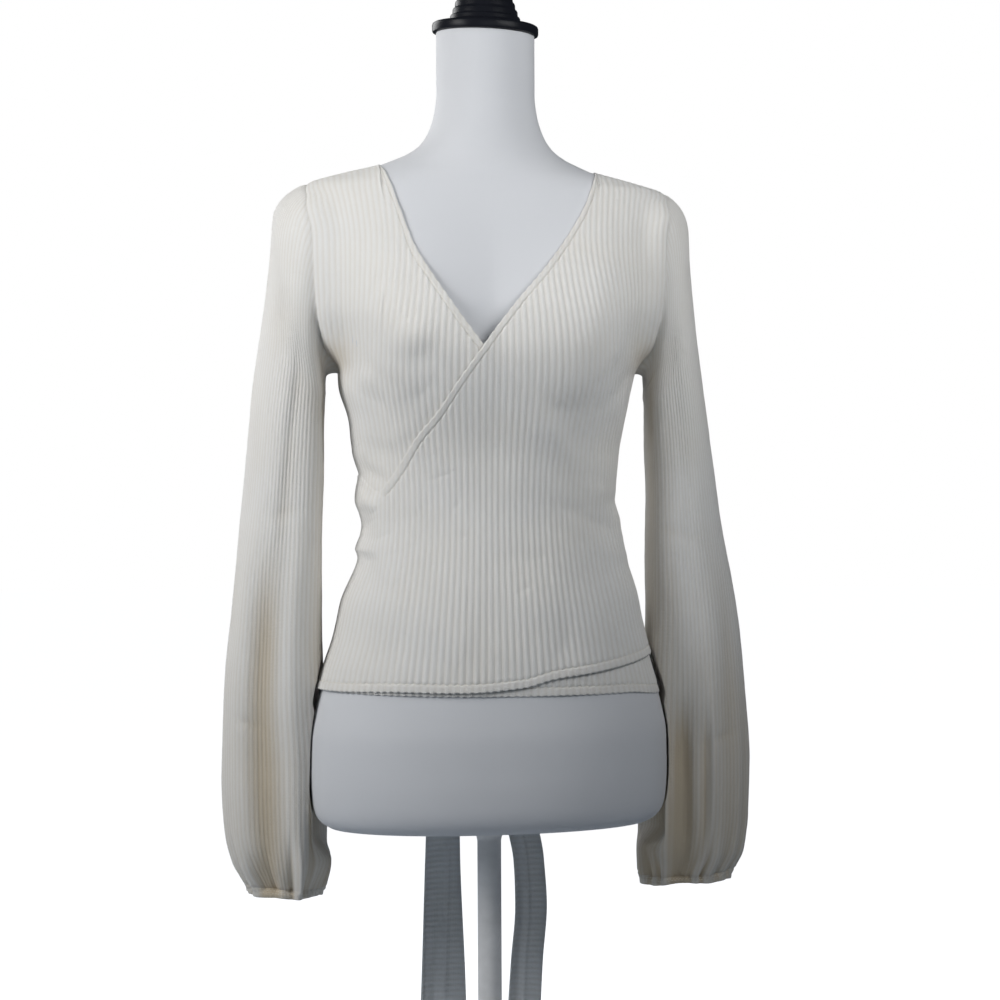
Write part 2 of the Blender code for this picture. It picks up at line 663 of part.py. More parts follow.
def tie_band(name, ends, lift, material):
    """A tie's run round the back, from its wide end at the side to the narrow one at the knot."""
    start, stop = ends
    arc = math.radians(abs(stop.turn - start.turn)) * TIE_ARC_RADIUS
    stations = 2 * round(arc / TIE_RIB) + 1
    lines = 3 * TIE_FOLDS
    outer = []
    inner = []
    for i in range(stations):
        share = i / (stations - 1)
        lower = start.lower + (stop.lower - start.lower) * eased(share)
        upper = start.upper + (stop.upper - start.upper) * eased(share)
        degrees = start.turn + (stop.turn - start.turn) * share
        rise = 0 if i % 2 else RIB_RISE / 2
        levels = (TIE_WALL + rise, 0) if i % 2 == 0 else (TIE_WALL,)
        for level, columns in zip(levels, (outer, inner)):
            column = []
            for j in range(lines + 1):
                fold = TIE_FOLD_RISE * (1 - math.cos(2 * math.pi * TIE_FOLDS * j / lines))
                point = body_point(degrees, lower + (upper - lower) * j / lines)
                column.append(lift_off(point, lift + level + fold))
            columns.append(column)
    cloth_wall(name, outer, inner, False, material)


def knot_y():
    return float(BACK(KNOT_HEIGHT)) + TIE_LIFT_RIGHT + KNOT_RADII[1]


def tie_end(name, rows, material):
    """A tie's free end: down from the knot over the back, then straight down past the form."""
    x_at = table_curve(rows, "x")
    half_at = table_curve(rows, "half_width")
    top = KNOT_HEIGHT - KNOT_RADII[2] - SEAM_GAP
    drop = top - TIE_END_HEIGHT
    stations = 2 * round(drop / TIE_RIB) + 1
    outer = []
    inner = []
    for i in range(stations):
        share = i / (stations - 1)
        height = top - drop * share
        x = float(x_at(share))
        half = float(half_at(share))
        # it hangs as far back as the form above it reaches
        levels_above = np.arange(max(height, 0.0), top + TIE_RIB / 2, TIE_RIB / 2)
        behind = max(knot_y(), float(np.max(body_y(x, levels_above, 1))) + TIE_END_CLEARANCE)
        crease = TIE_END_FOLD * (0.4 + 0.6 * math.sin(2.2 * math.pi * share))
        rise = 0 if i % 2 else RIB_RISE / 2
        levels = (TIE_WALL + rise, 0) if i % 2 == 0 else (TIE_WALL,)
        for level, columns in zip(levels, (outer, inner)):
            near = (x - half, behind + level, height)
            middle = (x, behind + level + crease, height)
            far = (x + half, behind + level, height)
            columns.append([near, middle, far])
    cloth_wall(name, outer, inner, False, material)


def tie_knot(material):
    mesh = bmesh.new()
    bmesh.ops.create_uvsphere(mesh, u_segments=14, v_segments=9, radius=1)
    bmesh.ops.scale(mesh, vec=KNOT_RADII, verts=mesh.verts)
    bmesh.ops.translate(mesh, vec=(0, knot_y(), KNOT_HEIGHT), verts=mesh.verts)
    finish("tie_knot", mesh, material)


def dress_form(material):
    """The form's skin between its level sections, closed at the foot and at the neck."""
    heights = [ring.height for ring in FORM_RINGS if ring.height < PANEL_ROWS[0]]
    heights += [*PANEL_ROWS, *(ring.height for ring in FORM_RINGS if ring.height > SHOULDER)]
    mesh = bmesh.new()
    rings = []
    for height in heights:
        ring = []
        for k in range(FORM_SIDES):
            turn = 2 * math.pi * k / FORM_SIDES
            x = float(HALF_WIDTH(height)) * math.sin(turn)
            y = float(body_y(x, height, -1 if math.cos(turn) > 0 else 1, 1.0))
            ring.append(mesh.verts.new(lift_off((x, y, height), -float(INSET(height)), 1.0)))
        rings.append(ring)
    for lower, upper in zip(rings, rings[1:]):
        for k in range(FORM_SIDES):
            beside = (k + 1) % FORM_SIDES
            mesh.faces.new((lower[k], lower[beside], upper[beside], upper[k]))
    mesh.faces.new(rings[0])
    mesh.faces.new(rings[-1])
    finish("dress_form", mesh, material)


def turned(name, profile, material):
    """A full turn of a profile about the form's axis, closed by flat ends."""
    mesh = bmesh.new()
    line = [mesh.verts.new((radius, 0, height)) for radius, height in profile]
    edges = [mesh.edges.new(pair) for pair in zip(line, line[1:])]
    bmesh.ops.spin(
        mesh,
        geom=line + edges,
        axis=(0, 0, 1),
        cent=(0, 0, 0),
        angle=2 * math.pi,
        steps=TURNED_SIDES,
        use_merge=True,
    )
    bmesh.ops.holes_fill(mesh, edges=[edge for edge in mesh.edges if edge.is_boundary], sides=0)
    finish(name, mesh, material)


def main():
    for old in list(bpy.data.objects):
        bpy.data.objects.remove(old, do_unlink=True)
    cream = principled("cream_rib_knit", CREAM, 0.95)
    dress_form(principled("white_jersey", JERSEY_WHITE, 0.85))
    turned("neck_cap", CAP_PROFILE, principled("black_cap", CAP_BLACK, 0.25))
    turned("stand", STAND_PROFILE, principled("white_lacquer", STAND_WHITE, 0.35))
    back(cream)
    front_under(cream)
    front_over(cream)
    sleeve("sleeve_left", -1, LEFT_SLEEVE_RINGS, LIFT_UNDER, cream)
    sleeve("sleeve_right", 1, RIGHT_SLEEVE_RINGS, LIFT_OVER, cream)
    cuff("cuff_left", -1, LEFT_SLEEVE_RINGS, cream)
    cuff("cuff_right", 1, RIGHT_SLEEVE_RINGS, cream)
    tie_band("tie_over_band", TIE_OVER_BAND, TIE_LIFT_LEFT, cream)
    tie_band("tie_under_band", TIE_UNDER_BAND, TIE_LIFT_RIGHT, cream)
    tie_knot(cream)
    tie_end("tie_over_end", TIE_OVER_END, cream)
    tie_end("tie_under_end", TIE_UNDER_END, cream)


if __name__ == "__main__":
    main()
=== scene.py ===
"""A cream rib-knit wrap top on its dress form: the knit, hems, stitches, folds, skin, cap, stand and studio.

Units are metres and +Z is up. The top's front faces -Y, and +X is the wearer's left, on the right as seen
from the front. Heights in the tables are measured from a level just below the dress form, as in the part's
own source.
"""

import math
from collections import namedtuple

import bmesh
import bpy
import numpy as np
from bpy.props import FloatProperty, FloatVectorProperty, PointerProperty
from mathutils import Matrix, Vector


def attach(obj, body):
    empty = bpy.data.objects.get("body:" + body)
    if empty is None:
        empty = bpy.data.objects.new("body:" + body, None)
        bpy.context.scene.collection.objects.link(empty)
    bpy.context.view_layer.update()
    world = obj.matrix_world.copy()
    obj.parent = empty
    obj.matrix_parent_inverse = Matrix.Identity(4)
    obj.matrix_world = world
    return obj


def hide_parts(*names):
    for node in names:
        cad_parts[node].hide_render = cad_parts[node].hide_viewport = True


bl_info = {
    "name": "Rib Knit Wrap Top",
    "version": (1, 0, 0),
    "blender": (4, 5, 0),
    "location": "View3D > Sidebar > Wrap Top",
    "description": "Knit, hems, folds and stitches of a wrap top, its dress form and a plain studio",
    "category": "Object",
}

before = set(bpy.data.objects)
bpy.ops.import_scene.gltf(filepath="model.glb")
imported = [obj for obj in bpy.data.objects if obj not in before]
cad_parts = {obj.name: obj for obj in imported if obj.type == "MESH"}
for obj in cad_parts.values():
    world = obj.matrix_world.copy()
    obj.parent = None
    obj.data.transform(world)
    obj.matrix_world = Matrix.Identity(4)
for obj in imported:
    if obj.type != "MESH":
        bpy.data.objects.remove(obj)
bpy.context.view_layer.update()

ROOT = "root"
DATUM = 0.300  # floor to the level that the tables' heights are measured from, just below the dress form
AXIS_Y = 0.02  # how far behind the form's axis the middle of the cloth stands
MERGE_DISTANCE = 2e-5


def rows_of(row_type, *rows):
    """A table's rows, with its columns named by a namedtuple."""
    return tuple(row_type(*row) for row in rows)


def table_column(rows, name):
    return np.array([getattr(row, name) for row in rows])


def run_along(points):
    """The distance run at each point of a row of them."""
    steps = np.linalg.norm(np.diff(points, axis=0), axis=1)
    return np.concatenate([[0], np.cumsum(steps)])


# ------------------------------------------------------------------------------ the body's shape

FormRing = namedtuple("FormRing", "height half_width front back squareness")
FORM_RINGS = rows_of(
    FormRing,
    (0.012, 0.148, 0.089, 0.105, 2.2),
    (0.016, 0.1545, 0.0955, 0.111, 2.2),
    (0.023, 0.16, 0.1005, 0.116, 2.2),
    (0.035, 0.163, 0.1035, 0.119, 2.2),
    (0.06, 0.1645, 0.105, 0.12, 2.2),
    (0.09, 0.164, 0.105, 0.119, 2.2),
    (0.124, 0.159, 0.103, 0.113, 2.2),
    (0.18, 0.143, 0.098, 0.1, 2.2),
    (0.216, 0.135, 0.094, 0.093, 2.2),
    (0.253, 0.123, 0.089, 0.085, 2.2),
    (0.3, 0.1175, 0.085, 0.08, 2.2),
    (0.345, 0.1195, 0.086, 0.083, 2.2),
    (0.382, 0.1245, 0.089, 0.088, 2.3),
    (0.425, 0.136, 0.093, 0.095, 2.4),
    (0.45, 0.144, 0.095, 0.098, 2.4),
    (0.48, 0.154, 0.093, 0.099, 2.5),
    (0.51, 0.162, 0.085, 0.097, 2.5),
    (0.54, 0.168, 0.076, 0.091, 2.4),
    (0.57, 0.1715, 0.068, 0.083, 2.2),
    (0.586, 0.17, 0.063, 0.077, 2.0),
    (0.5945, 0.162, 0.0605, 0.074, 1.9),
    (0.6005, 0.145, 0.059, 0.072, 1.8),
    (0.6058, 0.125, 0.0575, 0.07, 1.8),
    (0.6116, 0.101, 0.055, 0.067, 1.8),
    (0.6175, 0.085, 0.053, 0.064, 1.85),
    (0.622, 0.074, 0.0515, 0.062, 1.9),
    (0.63, 0.0616, 0.0495, 0.059, 2.0),
    (0.645, 0.052, 0.0475, 0.056, 2.0),
    (0.662, 0.047, 0.046, 0.054, 2.0),
    (0.679, 0.045, 0.045, 0.053, 2.0),
    (0.734, 0.045, 0.045, 0.0525, 2.0),
)
FORM_TOP = FORM_RINGS[-1].height

# How far out of level the shoulders, cap and foot stand: down for each metre towards the wearer's left
TiltRow = namedtuple("TiltRow", "height tilt")
TILTS = rows_of(
    TiltRow,
    (-0.15, 0.0), (-0.06, -0.012), (0.1, -0.012), (0.33, 0.0), (0.58, 0.022), (0.598, 0.026),
    (0.614, 0.035), (0.64, 0.036), (0.72, 0.045), (0.8, 0.045),
)

# How far the knotted ties pull each side of the waist out (+) or in (-), fading towards the centre line
PullRow = namedtuple("PullRow", "height out")
LEFT_PULLS = rows_of(
    PullRow,
    (0.16, 0.0), (0.188, -0.0018), (0.216, -0.0022), (0.242, -0.004), (0.25, -0.005), (0.256, -0.0056),
    (0.26, -0.0044), (0.265, -0.0022), (0.27, -0.0028), (0.278, -0.0046), (0.288, -0.0042),
    (0.297, -0.0018), (0.308, 0.0014), (0.32, 0.0004), (0.332, 0.0), (0.342, 0.0024), (0.354, 0.0046),
    (0.382, 0.003), (0.405, 0.0046), (0.43, 0.0),
)
RIGHT_PULLS = rows_of(
    PullRow,
    (0.2, 0.0), (0.244, 0.0016), (0.27, 0.0018), (0.288, 0.0012), (0.298, -0.0012), (0.308, -0.0036),
    (0.328, -0.0024), (0.354, 0.0006), (0.382, 0.0018), (0.42, 0.0),
)

BUST_X = 0.087
BUST_HEIGHT = 0.451
BUST_RISE = 0.025
BUST_SPREAD = 0.050
BUST_SPREAD_UP = 0.056
CLOTH_SAG = 0.35  # how far the cloth follows the hollow between the mounds

# Under the cloth the form's skin lies this far inside the body surface
InsetRow = namedtuple("InsetRow", "height inset")
FORM_INSETS = rows_of(
    InsetRow,
    (0.1, 0.0), (0.14, 0.0016), (0.18, 0.003), (0.4, 0.003), (0.47, 0.0016), (0.6, 0.0018), (0.63, 0.0),
)

# At the armholes the cloth bridges the hollow between the body's side and the sleeve
BRIDGE = 0.0092
BRIDGE_REACH = 0.034  # in from the armhole's edge
BRIDGE_EASE = 0.030  # up from the armpit and down from the shoulder
PULL_FADES = 0.45  # how much flatter the ribs are at the pulled side
PULL_FADES_FROM = 0.070
PULL_FADES_OVER = 0.040
PIT_PAINTED_SHADE = 2.6  # painted shade: how much more of the valley colour is painted beside the armpits, where shade falls
PIT_X = 0.140
PIT_LEVEL = 0.436
PIT_SIZE = 0.012
ARMPIT = 0.4232
SHOULDER = 0.5935
ArmholeRow = namedtuple("ArmholeRow", "height front_share back_share")
ARMHOLE = rows_of(
    ArmholeRow,
    (ARMPIT, 1.0, 1.0), (0.44, 0.996, 0.996), (0.465, 0.978, 0.982), (0.501, 0.945, 0.96),
    (0.55, 0.915, 0.935), (0.58, 0.95, 0.96), (SHOULDER, 1.0, 1.0),
)

# Edges of the panels, by the distance from the centre line (+ is the wearer's left)
EdgeRow = namedtuple("EdgeRow", "x height")
OVER_NECKLINE = rows_of(
    EdgeRow,
    (-0.13, 0.336), (-0.118, 0.332), (-0.112, 0.3255), (-0.106, 0.3205), (-0.1, 0.3195),
    (-0.0945, 0.325), (-0.084, 0.3415), (-0.0694, 0.3674), (-0.054, 0.3873), (-0.0355, 0.4158),
    (-0.0104, 0.4508), (0.0189, 0.4883), (0.0475, 0.5215), (0.0783, 0.5655), (0.086, 0.58),
    (0.092, 0.595), (0.0965, 0.606), (0.0998, 0.6135),
)
UNDER_NECKLINE = rows_of(
    EdgeRow,
    (-0.0998, 0.6135), (-0.0955, 0.606), (-0.091, 0.595), (-0.0827, 0.57), (-0.0709, 0.537),
    (-0.0574, 0.513), (-0.0423, 0.4892), (-0.029, 0.4704), (-0.0147, 0.4508), (0.035, 0.385),
    (0.075, 0.338), (0.118, 0.322),
)
BACK_NECKLINE = rows_of(
    EdgeRow,
    (0.0, 0.6), (0.05, 0.6015), (0.085, 0.607), (0.0998, 0.614),
)
OVER_HEM = rows_of(
    EdgeRow,
    (-0.154, 0.1392), (-0.09, 0.1412), (-0.03, 0.1402), (0.023, 0.1437), (0.052, 0.1506),
    (0.087, 0.1545), (0.122, 0.16), (0.16, 0.168),
)
UNDER_HEM = rows_of(
    EdgeRow,
    (-0.16, 0.14), (0.0, 0.1365), (0.087, 0.1352), (0.122, 0.1345), (0.146, 0.131), (0.16, 0.129),
)
BACK_HEM = rows_of(EdgeRow, (0.0, 0.134), (0.16, 0.132))
LOWEST_TRACK = 0.120
LOWEST_NECKLINE = 0.25
OVER_WRAP = 103.0  # degrees round from the centre front, where the over front ends behind the side
OVER_END_HEIGHTS = (0.136, 0.334)
SIDE_SETTLE = 0.016  # the over front rises off the under one over this distance below its unsewn edge
UNDER_STOPS = 2.0  # raised ribs short of the side seam where the under front ends

# The valleys of each layer's ribs, off the body's surface
UNDER_LIFT = -0.0004
OVER_LIFT = 0.0026
COVER_FADE = 0.035  # the upper layer settles onto the form over this distance past the lower one's edge

SleeveRing = namedtuple("SleeveRing", "outer_x outer_height inner_x inner_height half_depth back")
LEFT_SLEEVE_RINGS = rows_of(
    SleeveRing,
    (0.183, 0.5915, 0.144, 0.4275, 0.047, 0.008),
    (0.1935, 0.574, 0.1468, 0.4235, 0.048, 0.01),
    (0.198, 0.53, 0.1482, 0.4135, 0.05, 0.012),
    (0.2055, 0.47, 0.1492, 0.393, 0.053, 0.014),
    (0.216, 0.395, 0.15, 0.356, 0.055, 0.018),
    (0.2245, 0.305, 0.1515, 0.29, 0.056, 0.024),
    (0.235, 0.215, 0.153, 0.21, 0.0575, 0.031),
    (0.243, 0.13, 0.15, 0.128, 0.059, 0.037),
    (0.2455, 0.06, 0.144, 0.06, 0.059, 0.041),
    (0.243, 0.01, 0.145, 0.01, 0.057, 0.041),
    (0.2355, -0.024, 0.1468, -0.026, 0.052, 0.04),
    (0.224, -0.044, 0.1525, -0.049, 0.044, 0.04),
)
RIGHT_SLEEVE_RINGS = rows_of(
    SleeveRing,
    (0.1785, 0.5915, 0.1435, 0.4275, 0.047, 0.008),
    (0.187, 0.574, 0.1462, 0.4235, 0.048, 0.01),
    (0.1893, 0.53, 0.1474, 0.4135, 0.05, 0.012),
    (0.1943, 0.47, 0.1485, 0.393, 0.053, 0.014),
    (0.205, 0.395, 0.15, 0.356, 0.055, 0.018),
    (0.217, 0.305, 0.1515, 0.29, 0.056, 0.024),
    (0.2335, 0.215, 0.1515, 0.21, 0.0575, 0.031),
    (0.2445, 0.13, 0.149, 0.128, 0.059, 0.037),
    (0.2495, 0.06, 0.145, 0.06, 0.059, 0.041),
    (0.249, 0.01, 0.1455, 0.01, 0.057, 0.041),
    (0.244, -0.024, 0.145, -0.026, 0.052, 0.04),
    (0.233, -0.0435, 0.146, -0.048, 0.044, 0.04),
)
CUFF_HEIGHT = 0.0095
CUFF_DRAW_IN = 0.12
HIP_CLEARANCE = 0.0020
CLOTH_CLEARANCE = 0.0058  # and where the panels cover the hip
CLOTH_FOOT = 0.116
CLOTH_EASE = 0.014
INNER_FULLNESS = 2.4  # how square the sleeve's front is towards the body, over a round section's power of 2
HIP_TOP = 0.30  # sleeves are pushed clear of the hip from here down
HIP_TOP_EASE = 0.03
HIP_FOOT = 0.026
HIP_FADE = -0.022


def smooth_curve(xs, ys):
    """A smooth function through the points, which never swings past them (a monotone cubic)."""
    xs = np.asarray(xs, float)
    ys = np.asarray(ys, float)
    steps = np.diff(xs)
    slopes = np.diff(ys) / steps
    tangents = np.zeros_like(ys)
    tangents[0] = slopes[0]
    tangents[-1] = slopes[-1]
    for i in range(1, len(xs) - 1):
        if slopes[i - 1] * slopes[i] > 0:
            left = steps[i] * 2 + steps[i - 1]
            right = steps[i] + steps[i - 1] * 2
            tangents[i] = (left + right) / (left / slopes[i - 1] + right / slopes[i])

    def at(x):
        x = np.clip(x, xs[0], xs[-1])
        i = np.clip(np.searchsorted(xs, x, side="right") - 1, 0, len(steps) - 1)
        t = (x - xs[i]) / steps[i]
        start = (1 + 2 * t) * (1 - t) ** 2 * ys[i] + t * (1 - t) ** 2 * steps[i] * tangents[i]
        return start + t * t * (3 - 2 * t) * ys[i + 1] + t * t * (t - 1) * steps[i] * tangents[i + 1]

    return at


def table_curve(rows, column):
    """smooth_curve() of one column of a table over the table's first column."""
    return smooth_curve([row[0] for row in rows], table_column(rows, column))


HALF_WIDTH = table_curve(FORM_RINGS, "half_width")
FRONT = table_curve(FORM_RINGS, "front")
BACK = table_curve(FORM_RINGS, "back")
SQUARENESS = table_curve(FORM_RINGS, "squareness")
INSET = table_curve(FORM_INSETS, "inset")
FRONT_SHARE = table_curve(ARMHOLE, "front_share")
BACK_SHARE = table_curve(ARMHOLE, "back_share")
TILT = table_curve(TILTS, "tilt")
LEFT_PULL = table_curve(LEFT_PULLS, "out")
RIGHT_PULL = table_curve(RIGHT_PULLS, "out")


def eased(share):
    share = np.clip(share, 0, 1)
    return share * share * (3 - 2 * share)


def bell(distance, width):
    """1 in the middle and soft to nothing at about twice the width."""
    return np.exp(-((distance / width) ** 2))


def bust(x, height, sag):
    off = np.abs(x) - BUST_X
    across = np.exp(-0.5 * (off / BUST_SPREAD) ** 2)
    across = np.where(off < 0, 1 - sag * (1 - across), across)
    up = np.exp(-0.5 * ((height - BUST_HEIGHT) / BUST_SPREAD_UP) ** 2)
    fade = np.sin(math.pi / 2 * np.clip((1 - np.abs(x) / HALF_WIDTH(height)) * 2.2, 0, 1))
    return BUST_RISE * across * up * fade


def body_level(x, y, height, sag):
    """1 on the body's surface, less inside it and more outside it."""
    y = y + np.where(y < 0, bust(x, height, sag), 0)
    depth = np.where(y < 0, FRONT(height), BACK(height))
    square = SQUARENESS(height)
    return np.abs(x / HALF_WIDTH(height)) ** square + np.abs(y / depth) ** square


def body_y(x, height, facing, sag=CLOTH_SAG):
    """The surface's y at x and height, on the front (facing -1) or the back (facing 1)."""
    share = np.clip(np.abs(x) / HALF_WIDTH(height), 0, 1)
    square = SQUARENESS(height)
    rest = np.clip(1 - share**square, 0, 1) ** (1 / square)
    if facing > 0:
        return BACK(height) * rest
    return -FRONT(height) * rest - bust(x, height, sag)


def body_reach(turn, height):
    """The distance from the axis to the surface, turn radians round from the centre front, bust left out."""
    square = SQUARENESS(height)
    depth = np.where(np.cos(turn) > 0, FRONT(height), BACK(height))
    across = np.abs(np.sin(turn)) / HALF_WIDTH(height)
    along = np.abs(np.cos(turn)) / depth
    return (across**square + along**square) ** (-1 / square)


def body_point(degrees, height):
    """The surface's points in a direction, in degrees round from the centre front."""
    turn = np.radians(degrees)
    reach = body_reach(turn, height)
    return np.stack(np.broadcast_arrays(reach * np.sin(turn), -reach * np.cos(turn), height), -1)


def outward(points, sag=CLOTH_SAG):
    """Unit vectors straight out of the body's surface at an array of points."""
    slopes = []
    for axis in range(3):
        step = np.zeros(3)
        step[axis] = 1e-4
        ahead = body_level(*np.moveaxis(points + step, -1, 0), sag)
        behind = body_level(*np.moveaxis(points - step, -1, 0), sag)
        slopes.append(ahead - behind)
    normal = np.stack(slopes, -1)
    return normal / np.linalg.norm(normal, axis=-1, keepdims=True)


PULL_FROM_X = 0.099
PULL_EASES_X = 0.018
PULL_TO_Y = 0.105
PULL_EASES_Y = 0.03


def pulled(points):
    """Points of the body's cloth and skin, moved sideways where the ties pull at the waist."""
    x, y, height = np.moveaxis(points, -1, 0)
    out = np.where(x < 0, -LEFT_PULL(height), RIGHT_PULL(height))
    share = eased((np.abs(x) - PULL_FROM_X) / PULL_EASES_X) * eased((PULL_TO_Y - np.abs(y)) / PULL_EASES_Y)
    return np.stack([x + out * share, y, height], -1)


def stood(points):
    """Points from the tables' level, tilted and lifted to where they stand."""
    x, y, height = np.moveaxis(points, -1, 0)
    return np.stack([x, y, height - x * TILT(height) + DATUM], -1)


def stand_up(mesh):
    """stood() for a bmesh."""
    for vert in mesh.verts:
        vert.co.z += DATUM - vert.co.x * float(TILT(vert.co.z))


# ------------------------------------------------------------------------------ meshes and finish


def mesh_data(name, mesh):
    """A bmesh's mesh data. The bmesh ends here."""
    data = bpy.data.meshes.new(name)
    mesh.to_mesh(data)
    mesh.free()
    return data


def new_object(name, data, material):
    """A smooth object of the mesh data, in the scene."""
    data.shade_smooth()
    data.materials.append(material)
    made = bpy.data.objects.new(name, data)
    bpy.context.scene.collection.objects.link(made)
    return made


def close_rims(mesh):
    """Caps a bmesh's open rims and turns its faces outward."""
    bmesh.ops.holes_fill(mesh, edges=[edge for edge in mesh.edges if edge.is_boundary], sides=0)
    bmesh.ops.recalc_face_normals(mesh, faces=mesh.faces)


def knit_grid(name, points, ribs, along, crest, material, closed=False):
    """A cloth mesh of an array of points (columns, rows, 3), from Blender's grid.
    ribs and along are the knit's own coordinates of each point in metres, kept as its UV map. crest is 0 in
    a valley and 1 on a rib. One value a column or a row will do for each. closed joins the first and last
    columns."""
    columns, rows = points.shape[:2]
    mesh = bmesh.new()
    bmesh.ops.create_grid(mesh, x_segments=columns - 1, y_segments=rows - 1, size=0.5)
    data = mesh_data(name, mesh)
    flat = np.empty(len(data.vertices) * 3)
    data.vertices.foreach_get("co", flat)
    flat = flat.reshape(-1, 3)
    column = np.rint((flat[:, 0] + 0.5) * (columns - 1)).astype(int)
    row = np.rint((flat[:, 1] + 0.5) * (rows - 1)).astype(int)
    data.vertices.foreach_set("co", stood(points[column, row]).ravel())
    corners = np.empty(len(data.loops), int)
    data.loops.foreach_get("vertex_index", corners)
    knit = np.stack([np.broadcast_to(ribs, (columns, rows)), np.broadcast_to(along, (columns, rows))], -1)
    layer = data.uv_layers.new(name="knit")
    layer.data.foreach_set("uv", knit[column[corners], row[corners]].ravel())
    # painted shade: the crest attribute also carries the shade painted into folds and hollows
    shade = data.attributes.new("crest", "FLOAT", "POINT")
    shade.data.foreach_set("value", np.broadcast_to(crest, (columns, rows))[column, row])
    if closed:
        mesh = bmesh.new()
        mesh.from_mesh(data)
        bmesh.ops.remove_doubles(mesh, verts=mesh.verts, dist=MERGE_DISTANCE)
        mesh.to_mesh(data)
        mesh.free()
    return new_object(name, data, material)


def point_out(made, centre_x=0.0):
    """Turns a shell's faces so that they look away from the vertical line through centre_x."""
    data = made.data
    centres = np.empty(len(data.polygons) * 3)
    data.polygons.foreach_get("center", centres)
    normals = np.empty(len(data.polygons) * 3)
    data.polygons.foreach_get("normal", normals)
    away = (centres.reshape(-1, 3) - np.array((centre_x, AXIS_Y, 0)))[:, :2]
    if np.sum(away * normals.reshape(-1, 3)[:, :2]) < 0:
        data.flip_normals()


def add_piece(made, node=None):
    """Hands a finished piece to the frame, in place of its CAD node if it has one."""
    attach(made, ROOT)
    if node:
        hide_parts(node)
    return made


class Finish:
    """A Principled material of procedural nodes. Each input is given as a constant or as a socket."""

    def __init__(self, name, colour, roughness, inputs=None):
        self.material = bpy.data.materials.new(name)
        self.material.use_nodes = True
        self.nodes = self.material.node_tree.nodes
        self.links = self.material.node_tree.links
        self.shader = self.nodes["Principled BSDF"]
        self.feed(self.shader, {"Base Color": (*colour, 1), "Roughness": roughness})
        self.feed(self.shader, inputs or {})

    def feed(self, node, inputs):
        """Sets or links a node's inputs, by name or index."""
        for socket, value in inputs.items():
            if isinstance(value, bpy.types.NodeSocket):
                self.links.new(value, node.inputs[socket])
            else:
                node.inputs[socket].default_value = value

    def node(self, kind, inputs=None, **settings):
        node = self.nodes.new("ShaderNode" + kind)
        for name, value in settings.items():
            setattr(node, name, value)
        self.feed(node, inputs or {})
        return node

    def math(self, operation, first, second=0.0):
        return self.node("Math", {0: first, 1: second}, operation=operation).outputs[0]

    def mix(self, kind, factor, first, second):
        inputs = {0: factor, 6: first, 7: second}
        return self.node("Mix", inputs, data_type="RGBA", blend_type=kind).outputs[2]

    def place(self):
        return self.node("TexCoord").outputs["Object"]

    def noise(self, scale, detail=2.0):
        inputs = {"Vector": self.place(), "Scale": scale, "Detail": detail}
        return self.node("TexNoise", inputs).outputs["Fac"]

    def ramp(self, share, first, second, ends=(0.0, 1.0)):
        """A blend of two colours, which changes between the two ends of share."""
        node = self.node("ValToRGB", {"Fac": share})
        for element, colour, end in zip(node.color_ramp.elements, (first, second), ends):
            element.position = end
            element.color = (*colour, 1)
        return node.outputs["Color"]

    def bump(self, height, strength, distance):
        node = self.node("Bump", {"Height": height, "Strength": strength, "Distance": distance})
        self.feed(self.shader, {"Normal": node.outputs["Normal"]})


Loops = namedtuple("Loops", "width height depth")
BODY_LOOPS = Loops(0.00152, 0.0013, 0.00025)
SLEEVE_LOOPS = Loops(0.0014, 0.0013, 0.00022)
LOOP_SLANT = 1.3  # rows of loops that one leg of a V climbs over its width
SLUB_SHARE = 3.2  # the thick places of the yarn against the loops
WAVES_A_UNIT = 0.314  # turns a width into a wave texture's scale
TUFT_COLOUR = (0.72, 0.70, 0.66, 1)
THREAD_SHADE = (0.85, 0.83, 0.80, 1)


